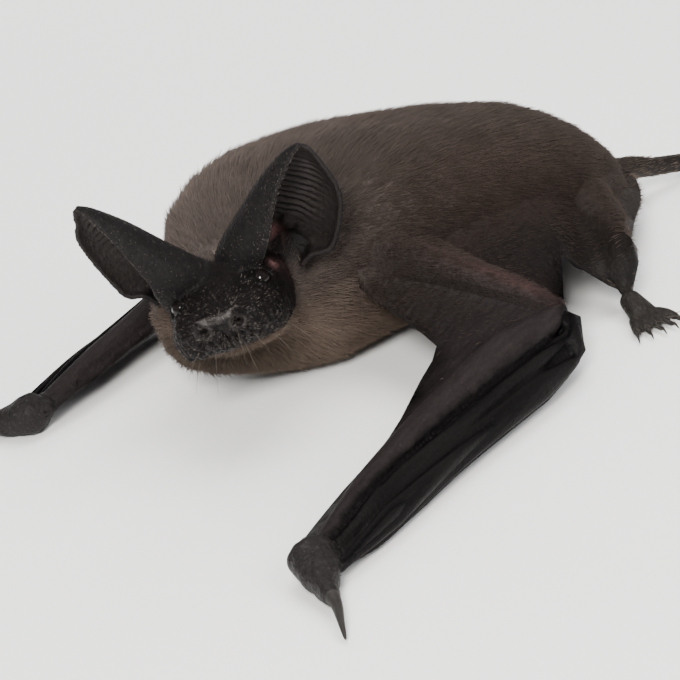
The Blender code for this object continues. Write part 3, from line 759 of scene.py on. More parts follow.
# %% Places on the ears
shell_ear = np.full((len(shell_points), 3), -1.0)  # place, share and side of the sheet on an ear
start = 0
for name, shell, _ in flesh:
    if len(shell) == 2 * EAR_ROWS * EAR_COLUMNS:
        rows, columns = ear_grid()
        for sheet in range(2):
            span = slice(start + sheet * rows.size, start + (sheet + 1) * rows.size)
            shell_ear[span] = np.stack([rows.ravel(), columns.ravel(), np.full(rows.size, sheet)], -1)
    start += len(shell)
INNER_SHEET = {"left": 1, "right": 0}


def inside_ear(labels):
    """True on the hollow side of the ears."""
    sheet = shell_ear[nearest][:, 2]
    inner = [is_part(labels, "ear_" + side) & (sheet == number) for side, number in INNER_SHEET.items()]
    return np.any(inner, axis=0)


print("points inside the ears:", int(inside_ear(labels).sum()))

# %% [markdown]
# ## Fine folds
# Three kinds of skin are finely folded: the inside of the ears is ridged across, the drooping lip has
# upright wrinkles, and the folded wing lies in long pleats. Two numbers describe them all: how many folds
# along a point is, and how deep they are there. The shape takes most of the depth, the material the rest.

# %% Fine folds
EAR_RIDGE = 1.2  # distance from ridge to ridge, in millimetres
LIP_WRINKLE = 1.15
PLEAT = 1.8
WEB_PLEAT = 0.8
WAVER = 0.4  # how far the folds wander from straight, in folds
SLIT_DEEP = 0.45
FOLD_SHARE = 0.65  # of the depth that is modelled; the rest is bump
EAR_RIDGE_DEEP = 0.27
LIP_WRINKLE_DEEP = 0.25
# beginning of the parts' names, distance from fold to fold, depth
WING_FOLDS = [("finger_", PLEAT, 0.24), ("pleat_", PLEAT, 0.36), ("crook_web_", WEB_PLEAT, 0.018)]


def part_share(points, start, end):
    """How far along the way from start to end each point lies, from 0 to 1."""
    run = vec(end) - vec(start)
    return np.clip((points - vec(start)) @ run / (run @ run), 0.0, 1.0)


def creases(labels):
    """1 in the slits of the folded wing, where forearm, fingers and membrane meet."""
    kinds = np.zeros(len(labels))
    for number, kind in enumerate(("forearm", "finger", "pleat")):
        kinds[is_part(labels, kind)] = number + 1
    first, second = kinds[edges[:, 0]], kinds[edges[:, 1]]
    meets = (first != second) & (first > 0) & (second > 0) & (np.minimum(first, second) < 2)
    slit = np.zeros(len(labels))
    slit[edges[meets].ravel()] = 1.0
    return np.clip(1.8 * spread(slit, edges, 4), 0.0, 1.0)


def grain(points, labels):
    """Coordinates that run slowly along the folded wing, so that a noise on them makes streaks."""
    out = points.copy()
    for side, wing in WINGS.items():
        on = is_part(labels, "finger_" + side, "pleat_" + side, "crook_web_" + side, "forearm_" + side)
        run = unit(vec(wing["wrist"]) - vec(wing["elbow"]))
        out[on] -= 0.86 * (points[on] @ run)[:, None] * run
    return out


def fine_folds(points, labels):
    """How many folds along each point is, and how deep they are there."""
    phase, depth = np.zeros(len(points)), np.zeros(len(points))
    local = in_head(points)
    lip = is_part(labels, "head")
    phase[lip] = np.arctan2(local[lip, 1], local[lip, 0] - 5.0) * 9.0 / LIP_WRINKLE
    drooping = LIP_WRINKLE_DEEP * fade(local[:, 2], -0.6, -2.6) * fade(local[:, 2], -6.4, -5.0)
    depth[lip] = (drooping * fade(local[:, 0], 3.5, 7.5))[lip]
    place, share, _ = shell_ear[nearest].T
    for side, wing in WINGS.items():
        ear = is_part(labels, "ear_" + side) & (place >= 0)
        root, tip = ear_point(side, vec([0.2, 1.0]), vec([0.4, 0.4]))
        phase[ear] = (points[ear] - root) @ unit(tip - root) / EAR_RIDGE
        inside = inside_ear(labels) * fade(place, 0.38, 0.48) * fade(place, 0.86, 0.76)
        depth[ear] = (EAR_RIDGE_DEEP * inside * fade(share, 0.14, 0.42))[ear]
        across = unit(beside_forearm(wing, 0.0, 1.0, 0.0) - beside_forearm(wing, 0.0, 0.0, 0.0))
        from_wrist = 1.0 - part_share(points, wing["elbow"], wing["wrist"])
        level = wing["wrist"][2] + (wing["elbow"][2] - wing["wrist"][2]) * from_wrist
        over = (points - vec(wing["elbow"])) @ across + 0.7 * (points[:, 2] - level)
        for kind, width, high in WING_FOLDS:
            on = is_part(labels, kind + side)
            phase[on] = (over / (width * (0.7 + 0.45 * from_wrist)))[on]
            depth[on] = high
    return phase + WAVER * lumps(grain(points, labels), 2.6), spread(depth, edges, 3)


print("points in the slits of the wings:", int((creases(labels) > 0.5).sum()))

# %% [markdown]
# ## Modelling the face
# A sculptor pushes and pulls the clay. Here each touch is a soft dab: a place on the head, a width and
# a height, and the skin moves along its own normal by that height. The dabs give the brow, the eye
# sockets, the broad muzzle, the cheeks, and the padded nose with its two pits. The face is almost the
# same on both sides, so a dab that is off the middle is made twice.

# %% Measures of the face
# forward, left, up, reach, height
DABS = [
    (13.0, 5.4, -0.4, 1.9, 0.6),  # muzzle swelling
    (10.6, 7.2, -2.8, 2.2, 0.5),  # upper lip
    (13.4, 2.2, -3.2, 1.3, 0.3),  # lip below the nostril
    (3.8, 8.6, -3.0, 2.6, 0.45),  # cheek
    (4.6, 4.3, 5.2, 2.6, 1.0),  # brow
    (8.3, 5.6, 4.1, 1.3, 0.5),  # lid fold over the eye
    (8.0, 7.8, 1.8, 2.0, -0.55),  # eye socket
    (10.6, 4.6, 2.4, 1.7, -0.35),  # hollow before the eye
    (11.4, 0.0, 2.4, 2.2, 0.3),  # bridge of the nose
    (16.0, 0.0, -2.4, 0.8, -0.4),  # groove below the nose
]
NOSTRIL = np.array([16.0, 2.7, -0.7])
NOSTRIL_WIDE = 0.72
NOSTRIL_DEEP = 1.8
RIM_AT = 1.15  # distance of the raised rim from the middle of the nostril
RIM_HIGH = 0.62
NOSE_PAD = [(15.3, 3.4, 0.2), (15.9, 2.4, 0.9), (16.1, 0.0, 0.5)]
PAD_HIGH = 1.1
MUZZLE_LUMPS = ((1.9, 0.36), (0.9, 0.24))  # spacing and height of the warty skin's bumps
# part, spacing and height of its slacker lumps
LUMPS = [("crook_web", 2.6, 0.16), ("flank_web", 2.1, 0.34), ("hand", 1.5, 0.3), ("tail_web", 2.4, 0.2)]
EYE = np.array([6.8, 6.5, 2.1])
EYE_SIZE = 1.52
LIDS = EYE + (0.7, 0.9, 0.2)  # middle of the ring of lids
LID_AT = 1.8  # radius of that ring
LID_HIGH = 0.42
MOUTH = [(12.7, 0.0, -4.3), (12.1, 3.4, -4.4), (9.9, 6.3, -5.0), (6.2, 7.6, -5.9)]
LIP_EDGE = vec(MOUTH) + (0.3, 0.3, 0.9)
MOUTH_WIDE = 0.55
MOUTH_DEEP = 1.1
CREASE = [(1.4, 0.0, 7.2), (3.6, 0.0, 6.6), (5.8, 0.0, 5.3)]
CREASE_DEEP = 0.5
LOWER_LIP_BACK = 0.9  # how far the lower lip lies behind the upper one
EAR_FOOT = [(1.5, 2.0, 7.4), (4.6, 4.6, 5.8), (5.4, 7.4, 4.3)]  # where an ear's front meets the brow


print("dabs on each half of the face:", len(DABS))

# %% [markdown]
# ## How far the face stands out
# All the touches are summed into one height for each point. A round touch uses the distance to a place,
# and the lips, the nose pad and the crease between the ears use the distance to a line.

# %% Face heights
def from_nostril(folded):
    """Distance to the middle of a nostril, which is wider than it is high."""
    return np.linalg.norm((folded - NOSTRIL) * (1.0, 1.0, 1.35), axis=1)


def dab(distance, reach):
    """1 at a place and soft towards the reach."""
    return np.exp(-((distance / reach) ** 2))


def away(local, place):
    return np.linalg.norm(local - vec(place), axis=1)


def from_line(local, rows):
    """Distance to a smooth line through the rows."""
    line = along(rows, np.linspace(0.0, 1.0, 40))
    return np.min(np.linalg.norm(local[:, None] - line[None], axis=2), axis=1)


def face_height(local):
    """How far the face stands out from the plain skull, for points given in the head's axes."""
    high = np.zeros(len(local))
    folded = both_sides(local)
    for *place, reach, height in DABS:
        high += height * dab(away(folded, place), reach)
    hole = from_nostril(folded)
    high += RIM_HIGH * dab(hole - RIM_AT, 0.4) - NOSTRIL_DEEP * dab(hole, NOSTRIL_WIDE)
    high += PAD_HIGH * dab(from_line(folded, NOSE_PAD), 0.6)
    high += LID_HIGH * dab(away(folded, LIDS) - LID_AT, 0.35)
    high -= MOUTH_DEEP * dab(from_line(folded, MOUTH), MOUTH_WIDE)
    high -= CREASE_DEEP * dab(from_line(folded, CREASE), 0.5)
    below_mouth = fade(local[:, 2], -4.6, -6.2) * fade(local[:, 0], 3.0, 9.0)
    return high - LOWER_LIP_BACK * below_mouth


face = is_part(labels, "head")
print("tallest and deepest touch:", face_height(in_head(points[face])).max().round(2), end=" and ")
print(face_height(in_head(points[face])).min().round(2), "mm")

# %% [markdown]
# ## Shaping the skin
# First the roots of the ears and the joints of the wings are melted, so that the parts grow into each
# other. Then every point moves along its normal by the face's height, by soft lumps and by the folds.

# %% Shape the skin
def melt(points, edges, weight, rounds):
    """Lets the surface relax where the weight is high."""
    for _ in range(rounds):
        points = points + weight[:, None] * (spread(points, edges, 1) - points)
    return points


def root_of_ears(points):
    """1 where the front of an ear runs into the brow, so that the two can be blended."""
    return dab(from_line(both_sides(in_head(points)), EAR_FOOT), 2.4)


def sculpt(points, normals, labels):
    local = in_head(points)
    near = is_part(labels, "head", "ear") & (local[:, 0] > -6.0)
    skull = is_part(labels[near], "head")
    warty = 0.35 + 0.65 * fade(local[near, 0], 5.0, 11.0)
    points[near] += normals[near] * (face_height(local[near]) * (0.25 + 0.75 * skull))[:, None]
    for size, height in MUZZLE_LUMPS:
        points[near] += normals[near] * (height * warty * skull * lumps(points[near], size))[:, None]
    for kind, size, height in LUMPS:
        on = is_part(labels, kind)
        points[on] += normals[on] * (height * lumps(points[on] * (1.0, 1.0, 0.5), size))[:, None]
    phase, depth = fine_folds(points, labels)
    height = FOLD_SHARE * depth * (2.0 * np.abs(np.sin(pi * phase)) - 1.0) - SLIT_DEEP * creases(labels)
    return points + normals * height[:, None]


def joints_of_wings(points):
    """1 at the shoulders, wrists and folded knuckles, where parts grow into each other with no ledge."""
    weight = np.zeros(len(points))
    for wing in WINGS.values():
        weight += dab(away(points, wing["shoulder"]), 8.0)
        weight += dab(away(points, mix(wing["wrist"], wing["elbow"], 0.06)), 4.6)
        weight += dab(away(points, beside_forearm(wing, 0.04, 3.6, 5.4)), 3.6)
    return np.clip(weight, 0.0, 1.0)


points = melt(points, edges, 0.7 * root_of_ears(points), 24)
points = melt(points, edges, joints_of_wings(points), 40)
write_points(skin.data, points)
points = sculpt(points, read_normals(skin.data), labels)
points = points + 0.4 * (spread(points, edges, 1) - points)
write_points(skin.data, points)
print("shaped skin:", [round(float(size), 1) for size in np.ptp(points, axis=0)], "mm")

# %% [markdown]
# ## Fewer triangles where nothing happens
# The wrap is as fine on the plain back as on the lips. Decimate's collapse method removes the edges
# that matter least. A vertex group guards the face, ears and hands, so they stay fine.

# %% Thin out the mesh
SKIN_TRIANGLES = 186000
GUARD = {"head": 0.55, "ear": 0.5, "hand": 0.35, "foot": 0.45, "finger": 0.2, "forearm": 0.12}


def thin_out(labels):
    guard = np.zeros(len(labels))
    for kind, share in GUARD.items():
        guard[is_part(labels, kind)] = share
    face = is_part(labels, "head") & (in_head(points)[:, 0] > 2.0)
    guard[face] = 1.0
    group = skin.vertex_groups.new(name="guard")
    for share in np.unique(guard):
        group.add(np.flatnonzero(guard == share).tolist(), float(share), "REPLACE")
    less = skin.modifiers.new("thin", "DECIMATE")
    less.vertex_group = "guard"
    less.invert_vertex_group = True
    less.ratio = SKIN_TRIANGLES / (2.0 * len(skin.data.polygons))
    applied(skin)
    skin.vertex_groups.clear()
    skin.data.shade_smooth()


thin_out(labels)
points = read_points(skin.data)
nearest = nearest_shell(points)
labels = shell_part[nearest]
edges = edges_of(skin.data)
print("skin:", sum(len(p.vertices) - 2 for p in skin.data.polygons), "triangles")

# %% [markdown]
# ## Markings
# The animal is grey-brown above, paler on the nape and warmer on the throat, with a nearly black face
# and wings. Each part gets a bare-skin colour and a coat colour, and the borders are let run into each
# other over the surface, as wet paint would. Skin and coat read the same markings.

# %% Colours
def srgb(red, green, blue):
    """Screen colour from 0 to 255 as linear light."""
    share = vec((red, green, blue)) / 255.0
    return np.where(share > 0.04045, ((share + 0.055) / 1.055) ** 2.4, share / 12.92)


FUR_BACK = srgb(56, 49, 45)
FUR_NAPE = srgb(84, 75, 70)
FUR_FLANK = srgb(78, 65, 58)
FUR_THROAT = srgb(124, 107, 95)
FUR_BELLY = srgb(104, 91, 80)
# painted shadow of the head on the coat under the chin
FUR_CHIN_SHADOW = srgb(50, 44, 36)
FUR_ARM = srgb(40, 32, 29)
FUR_FACE = srgb(27, 23, 22)
MOTTLE = 0.14  # how much the coat's tone drifts in broad patches
SKIN_COLOURS = {
    "trunk": srgb(46, 40, 36),
    "head": srgb(17, 14, 14),
    "ear": srgb(24, 22, 22),
    "pad": srgb(40, 30, 29),
    "upper_arm": srgb(23, 17, 16),
    "forearm": srgb(33, 28, 28),
    "finger": srgb(11, 9, 9),
    # the pleats lie in the slits of the folded wing: their darker colour is painted shade
    "pleat": srgb(7, 6, 6),
    "crook_web": srgb(18, 15, 14),
    "flank_web": srgb(19, 16, 15),
    "tail_web": srgb(16, 13, 12),
    "hand": srgb(33, 30, 30),
    "thigh": srgb(14, 12, 11),
    "shin": srgb(12, 10, 9),
    "foot": srgb(38, 35, 33),
    "tail": srgb(22, 19, 18),
}
EAR_INSIDE = srgb(38, 34, 33)
# painted highlight: the crest of the nose pad and the rims of the nostrils are made paler
NOSE_HIGHLIGHT = srgb(106, 101, 98)
BETWEEN_EARS = 3.0  # how much farther forward the coat comes between the ears
UNDERCOAT = 0.85  # tone of the skin under the coat, as a share of the coat's
PINK = srgb(150, 108, 106)
# places on the face where blood shows through, with how much and how far
BLUSHES = [((3.4, 8.2, 2.9), 0.4, 0.9), ((1.0, 9.4, 1.2), 0.12, 2.0)]
OVER_BONE = np.array([0.0, 0.0, 2.6])  # from the middle of the upper arm up to its thin skin
BELOW_EAR = (-2.4, 9.4, 2.4)  # middle of the bare patch between the ear's foot and the cheek
BARE_NECK = 4.5  # radius of that patch
DARK_COAT = ("upper_arm", "crook_web", "flank_web", "thigh", "tail_web")


print("skin colours:", len(SKIN_COLOURS))

# %% [markdown]
# ## Painting the skin and the coat
# The parts' colours are laid first and run together. Over them come a painted highlight on the nose's
# ridge and nostril rims, painted shade in the nostrils, the eye sockets and the wing's slits, and a little
# pink where the skin is thin and blood shows through. The coat under the chin is darkened as a painted
# shadow of the head. Under the coat, the skin takes the coat's own tone, so that no bare skin glints
# between the locks.

# %% Skin and coat colour
def before_crown(local):
    """How far in front of the ears a place is. The coat reaches farther forward between them."""
    return local[:, 0] - BETWEEN_EARS * dab(local[:, 1], 3.0)


def skin_colour(points, labels):
    colour = np.zeros((len(points), 3))
    for kind, value in SKIN_COLOURS.items():
        colour[is_part(labels, kind)] = value
    colour[inside_ear(labels)] = EAR_INSIDE
    folded = both_sides(in_head(points))
    colour[away(folded, BELOW_EAR) < BARE_NECK] = SKIN_COLOURS["head"]
    colour = spread(colour, edges, 8)
    hole = from_nostril(folded)
    # painted highlight on the crest of the nose pad and on the nostril rims
    pale = 0.9 * dab(from_line(folded, NOSE_PAD), 0.4) + 0.22 * dab(hole - RIM_AT, 0.35)
    colour += np.clip(pale, 0.0, 0.8)[:, None] * (NOSE_HIGHLIGHT - colour)
    # painted shade in the nostril pits and in the eye sockets round the eyes
    colour *= (1.0 - 0.8 * dab(hole, 0.8) - 0.7 * dab(away(folded, EYE), 2.8))[:, None]
    pink = sum(share * dab(away(folded, place), reach) for place, share, reach in BLUSHES)
    for side, wing in WINGS.items():
        for pad in ear_point(side, vec([0.3, 0.2]), vec([0.42, 0.44])):
            pink += 0.6 * dab(away(points, pad), 1.5) * (is_part(labels, "pad") | inside_ear(labels))
        bone = [mix(wing["shoulder"], wing["elbow"], share) + OVER_BONE for share in (0.35, 0.6, 0.95)]
        near = np.abs(points[:, 0] - wing["elbow"][0]) < 30.0
        pink[near] += 0.1 * dab(from_line(points[near], bone), 1.6)
    # painted shade in the slits of the folded wing, where forearm, fingers and membrane meet
    colour *= (1.0 - 0.75 * creases(labels))[:, None]
    pink = np.clip(pink, 0.0, 0.8)[:, None]
    bare = (1.0 - coat_density(points, labels))[:, None]
    colour = colour * (1.0 - pink) + PINK * pink
    return colour * bare + UNDERCOAT * coat_colour(points, labels) * (1.0 - bare)


def coat_colour(points, labels):
    local = in_head(points)
    nape = fade(points[:, 1], 2.0, -18.0) * fade(points[:, 2], 12.0, 22.0)
    throat = fade(points[:, 1], -8.0, -24.0) * fade(points[:, 2], 20.0, 12.0)
    belly = fade(points[:, 2], 8.0, 3.0)
    flank = fade(np.abs(points[:, 0]), 10.0, 16.0)
    colour = np.tile(FUR_BACK, (len(points), 1))
    for share, value in ((flank, FUR_FLANK), (nape, FUR_NAPE), (throat, FUR_THROAT), (belly, FUR_BELLY)):
        colour += share[:, None] * (value - colour)
    colour *= 1.0 + MOTTLE * lumps(points, 9.0)[:, None] * vec((1.1, 1.0, 0.85))
    # painted shadow: the coat just under the chin is darkened as if the head shaded it
    chin = fade(local[:, 0], -11.0, -1.0) * fade(local[:, 1], 8.0, 0.0) * fade(points[:, 2], 15.0, 9.0)
    arm = is_part(labels, *DARK_COAT) * fade(np.abs(points[:, 0]), 11.0, 17.0)
    for share, value in ((chin, FUR_CHIN_SHADOW), (arm, FUR_ARM)):
        colour += share[:, None] * (value - colour)
    face = is_part(labels, "head", "ear") * fade(before_crown(local), -1.5, 1.5)
    face = face * fade(local[:, 2], -6.6, -5.2)
    colour += face[:, None] * (FUR_FACE - colour)
    return spread(colour, edges, 6)


fur_tone = coat_colour(points, labels)
print("coat's mean colour, linear:", [round(float(part), 3) for part in fur_tone.mean(axis=0)])

# %% [markdown]
# ## Where the coat grows and how it lies
# Fur covers the trunk, the neck, the back of the head, and the roots of the arms and legs, and it thins
# out towards the membranes. It lies away from the nose over the head and back along the body. Each point
# of the skin stores how dense the coat is there, how long the hair is, and which way it lies.

# %% Coat fields
NOSE = on_head((15.0, 0.0, -1.0))
FUR_LENGTHS = {
    "trunk": 2.9,
    "head": 1.9,
    "upper_arm": 1.2,
    "thigh": 1.4,
    "crook_web": 0.9,
    "flank_web": 1.0,
}
LIP_FRINGE = 0.9  # how much longer the hair is along the edge of the lip


def coat_density(points, labels):
    local = in_head(points)
    dense = is_part(labels, "trunk").astype(float)
    crown = fade(before_crown(local), 0.5, -2.5)
    chin = fade(local[:, 2], -5.6, -7.0) * fade(local[:, 0], 10.5, 8.5)
    below_ear = dab(away(both_sides(local), BELOW_EAR), 3.4)
    dense += is_part(labels, "head") * np.maximum(crown, chin)
    for side, wing in WINGS.items():
        arm = is_part(labels, "upper_arm_" + side)
        dense[arm] = fade(part_share(points[arm], wing["shoulder"], wing["elbow"]), 0.5, 0.05)
        way = vec((wing["side"], 1.0, 1.0))
        leg = is_part(labels, "thigh_" + side)
        dense[leg] = fade(part_share(points[leg], vec(HIP) * way, vec(KNEE) * way), 0.8, 0.3)
    webs = is_part(labels, "crook_web", "flank_web", "tail_web")
    outward, high = np.abs(points[webs, 0]), points[webs, 2]
    dense[webs] = 0.8 * fade(outward, 20.5, 15.5) * fade(high, 8.0, 14.0)
    return np.clip(spread(dense * (1.0 - below_ear), edges, 8), 0.0, 1.0)


def coat_lie(points, normals, labels):
    back = np.tile(vec((0.0, 1.0, 0.0)), (len(points), 1))
    back[:, 2] = -0.45 * fade(np.abs(points[:, 0]), 6.0, 18.0)
    from_nose = unit(points - NOSE)
    distance = np.linalg.norm(points - NOSE, axis=1)
    lie = back + (from_nose - back) * fade(distance, 46.0, 20.0)[:, None]
    for side, wing in WINGS.items():
        arm = is_part(labels, "upper_arm_" + side, "crook_web_" + side)
        lie[arm] = unit(vec(wing["elbow"]) - vec(wing["shoulder"])) + vec((0.0, 0.5, 0.0))
        leg = is_part(labels, "thigh_" + side)
        lie[leg] = unit((vec(KNEE) - vec(HIP)) * vec((wing["side"], 1.0, 1.0))) + vec((0.0, 0.4, -0.2))
    lie = spread(lie, edges, 14)
    hang = 1.6 * dab(from_line(both_sides(in_head(points)), LIP_EDGE), 1.2)[:, None]
    lie = lie + hang * (0.35 * unit(points - on_head((6.0, 0.0, -3.0))) - HEAD[2])
    return unit(lie - normals * np.sum(lie * normals, axis=1, keepdims=True))


def coat_length(points, labels):
    length = np.full(len(points), 1.0)
    for kind, value in FUR_LENGTHS.items():
        length[is_part(labels, kind)] = value
    fringe = dab(from_line(both_sides(in_head(points)), LIP_EDGE), 0.9)
    return spread(length, edges, 10) + LIP_FRINGE * fringe


print("longest coat:", max(FUR_LENGTHS.values()), "mm, edge of the lip:", LIP_FRINGE, "mm more")

# %% [markdown]
# ## What each point of the skin knows
# The materials and the coat read the skin like a map. Each point keeps its colours, how dense the coat
# is, which way the folds run, how rough it is, and where the sparse hairs of the face stand.

# %% Store the fields
def coarseness(points, labels):
    """How rough the bare skin is: most on the muzzle and lips, less on the arms and ears."""
    rough = np.full(len(points), 0.6)
    rough[is_part(labels, "ear", "pad")] = 0.5
    rough[is_part(labels, "hand", "foot")] = 1.3
    muzzle = is_part(labels, "head") * fade(in_head(points)[:, 0], 4.0, 11.0)
    return spread(rough + 1.6 * muzzle, edges, 4)


def bare_hair(points, labels):
    """Where short sparse hair stands on the bare skin: the face and the outside of the ears."""
    local = in_head(points)
    share = shell_ear[nearest][:, 1]
    dense = is_part(labels, "head") * fade(local[:, 0], -3.0, 0.0)
    ear = is_part(labels, "ear")
    dense[ear] = (np.where(inside_ear(labels), 0.05, 0.6) + 0.9 * dab(share - 1.0, 0.05))[ear]
    return np.clip(spread(dense, edges, 3), 0.0, 1.0)


def pale_hair(points, labels):
    """Where the short pale hairs stand: the muzzle, the lip's edge and the front edges of the ears."""
    local = in_head(points)
    share = shell_ear[nearest][:, 1]
    folded = both_sides(local)
    dense = 0.2 * is_part(labels, "head") * fade(local[:, 0], 5.0, 11.0) * fade(local[:, 2], -6.0, -5.0)
    dense += 1.4 * is_part(labels, "head") * dab(from_line(folded, LIP_EDGE), 0.8)
    ear = is_part(labels, "ear")
    dense[ear] = (0.15 * ~inside_ear(labels) * fade(share, 0.6, 0.85) + 0.9 * dab(share - 1.0, 0.03))[ear]
    dense += 0.6 * dab(from_line(folded, NOSE_PAD), 0.7)
    return np.clip(dense, 0.0, 1.4)


def store(mesh, name, kind, values):
    """Keeps one value for every point of a mesh under a name."""
    made = mesh.attributes.new(name, kind, "POINT")
    field = {"FLOAT": "value", "FLOAT_VECTOR": "vector", "FLOAT_COLOR": "color"}[kind]
    values = vec(values)
    if kind == "FLOAT_COLOR":
        values = np.hstack([values, np.ones((len(values), 4 - values.shape[1]))])
    made.data.foreach_set(field, values.astype(np.float32).ravel())


normals = read_normals(skin.data)
dense = coat_density(points, labels)
store(skin.data, "coat", "FLOAT", dense)
store(skin.data, "lie", "FLOAT_VECTOR", coat_lie(points, normals, labels))
store(skin.data, "length", "FLOAT", coat_length(points, labels))
store(skin.data, "tint", "FLOAT_COLOR", skin_colour(points, labels))
store(skin.data, "fur", "FLOAT_COLOR", fur_tone)
phase, depth = fine_folds(points, labels)
store(skin.data, "fold", "FLOAT", phase)
store(skin.data, "fold_depth", "FLOAT", depth)
store(skin.data, "coarse", "FLOAT", coarseness(points, labels))
store(skin.data, "grain", "FLOAT_VECTOR", grain(points, labels))
store(skin.data, "bare_hair", "FLOAT", bare_hair(points, labels))
store(skin.data, "pale_hair", "FLOAT", pale_hair(points, labels))
print("coated share of the skin's points:", round(float(dense.mean()), 2))

# %% [markdown]
# ## Materials by node graph
# A few small helpers keep the node graphs short. The first makes a node, sets its plain inputs and
# links the rest. The others stand for arithmetic, for noise and for reading a stored field.

# %% Node helpers
def add_node(tree, kind, inputs=None, **settings):
    made = tree.nodes.new(kind)
    for name, value in settings.items():
        setattr(made, name, value)
    for name, value in (inputs or {}).items():
        socket = made.inputs[name]
        if isinstance(value, bpy.types.NodeSocket):
            tree.links.new(value, socket)
        else:
            socket.default_value = value
    return made


def calc(tree, operation, *values):
    """Arithmetic on numbers."""
    return add_node(tree, "ShaderNodeMath", dict(enumerate(values)), operation=operation).outputs[0]


def sloped(tree, value, slope, start):
    """The value times the slope, plus the start."""
    return calc(tree, "MULTIPLY_ADD", value, slope, start)


def clouds(tree, place, scale, detail, **more):
    """Soft noise at a place."""
    inputs = {"Vector": place, "Scale": scale, "Detail": detail, **more}
    return add_node(tree, "ShaderNodeTexNoise", inputs).outputs[0]


def object_place(tree):
    """Places in the model's own metres."""
    return add_node(tree, "ShaderNodeTexCoord").outputs["Object"]


def attribute(tree, name, output="Fac"):
    return add_node(tree, "ShaderNodeAttribute", attribute_name=name).outputs[output]


def new_material(name):
    made = bpy.data.materials.new(name)
    made.use_nodes = True
    return made, made.node_tree, made.node_tree.nodes["Principled BSDF"]


def tinted(tree, colour, factor):
    """A colour made darker or lighter by a factor."""
    grey = add_node(tree, "ShaderNodeCombineColor", {0: factor, 1: factor, 2: factor}).outputs[0]
    both = {0: 1.0, 6: colour, 7: grey}
    return add_node(tree, "ShaderNodeMix", both, data_type="RGBA", blend_type="MULTIPLY").outputs[2]


fields = [name for name in skin.data.attributes.keys() if not name.startswith(".")]
print("fields for the materials:", fields)

# %% [markdown]
# ## Hair by hair
# Geometry Nodes scatters points over the skin, stands a small bent spike on each one, and turns every
# spike so that it points along the lie of the coat and is lifted a little from the skin. A spike stands
# for a lock of a few hairs. Each one varies in length, width, direction and tone, and stores how far
# along the lock a point is, so that the roots can be darker than the tips.

# %% Coat tree
COAT_PER_MM2 = 20.0
LOCK_WIDE = 0.13  # width of a lock at its root, in millimetres
LOCK_SIDES = 3
LIFT = 0.3  # height of the tip over the skin, as a share of the reach along it
STRAY = 0.24  # how much a lock's direction wanders
BEND = 0.22
BEND_SCALE = -10.0  # a lock is narrow, so its bend across is given in many of its own widths
LOCK_VALUES = {
    "Density": 1.0,
    "Width": LOCK_WIDE,
    "Length": 1.0,
    "Lift": LIFT,
    "Stray": STRAY,
    "Bend": BEND,
}


def socket_of(tree, name):
    """The inner name of a tree's input."""
    for item in tree.interface.items_tree:
        if item.name == name and item.in_out == "INPUT":
            return item.identifier


def tree_inputs(tree):
    """Gives the tree its sockets, and returns the values that come in."""
    face = tree.interface
    face.new_socket("Geometry", in_out="INPUT", socket_type="NodeSocketGeometry")
    for name, value in LOCK_VALUES.items():
        face.new_socket(name, in_out="INPUT", socket_type="NodeSocketFloat").default_value = value
    face.new_socket("Seed", in_out="INPUT", socket_type="NodeSocketInt")
    face.new_socket("Where", in_out="INPUT", socket_type="NodeSocketString").default_value = "coat"
    face.new_socket("Material", in_out="INPUT", socket_type="NodeSocketMaterial")
    face.new_socket("Geometry", in_out="OUTPUT", socket_type="NodeSocketGeometry")
    return tree.nodes.new("NodeGroupInput").outputs


def triple(tree, x=0.0, y=0.0, z=0.0):
    return add_node(tree, "ShaderNodeCombineXYZ", {0: x, 1: y, 2: z}).outputs[0]


def added(tree, first, second):
    """The sum of two directions."""
    return add_node(tree, "ShaderNodeVectorMath", {0: first, 1: second}, operation="ADD").outputs[0]


def scaled(tree, vector, factor):
    return add_node(tree, "ShaderNodeVectorMath", {0: vector, "Scale": factor}, operation="SCALE").outputs[0]


def field(tree, name, kind="FLOAT"):
    """A stored field, read inside the tree."""
    read = add_node(tree, "GeometryNodeInputNamedAttribute", {"Name": name}, data_type=kind)
    return read.outputs["Attribute"]


def noted(tree, geometry, name, value, kind="FLOAT"):
    """The geometry with a value written on each of its points."""
    inputs = {"Geometry": geometry, "Name": name, "Value": value}
    kept = add_node(tree, "GeometryNodeStoreNamedAttribute", inputs, data_type=kind, domain="POINT")
    return kept.outputs[0]


def chance(tree, seed, low, high, salt):
    """A random number for each lock."""
    inputs = {2: low, 3: high, 8: calc(tree, "ADD", seed, salt)}
    return add_node(tree, "FunctionNodeRandomValue", inputs, data_type="FLOAT").outputs[1]


print("values that a coat can be given:", list(LOCK_VALUES))

# %% [markdown]
# ## One lock and all of them
# A lock is a thin cone with a half-way ring, bent to one side. The tree copies it to every root. It is
# turned by two rotations: the first points it along its heading, and the second turns its bent side
# towards the skin, so that every lock curls the same way.

# %% Lock tree
def bent_spike(tree, bend):
    """One lock, a unit high, bent sideways by the square of its height."""
    cone = {"Vertices": LOCK_SIDES, "Side Segments": 2, "Radius Top": 0.0, "Radius Bottom": 0.5, "Depth": 1.0}
    spike = add_node(tree, "GeometryNodeMeshCone", cone, fill_type="NONE").outputs["Mesh"]
    place = add_node(tree, "GeometryNodeInputPosition").outputs[0]
    high = add_node(tree, "ShaderNodeSeparateXYZ", {0: place}).outputs[2]
    spike = noted(tree, spike, "along", high)
    bent = calc(tree, "MULTIPLY", calc(tree, "MULTIPLY", high, high), bend)
    shift = triple(tree, calc(tree, "MULTIPLY", bent, BEND_SCALE))
    return add_node(tree, "GeometryNodeSetPosition", {"Geometry": spike, "Offset": shift}).outputs[0]


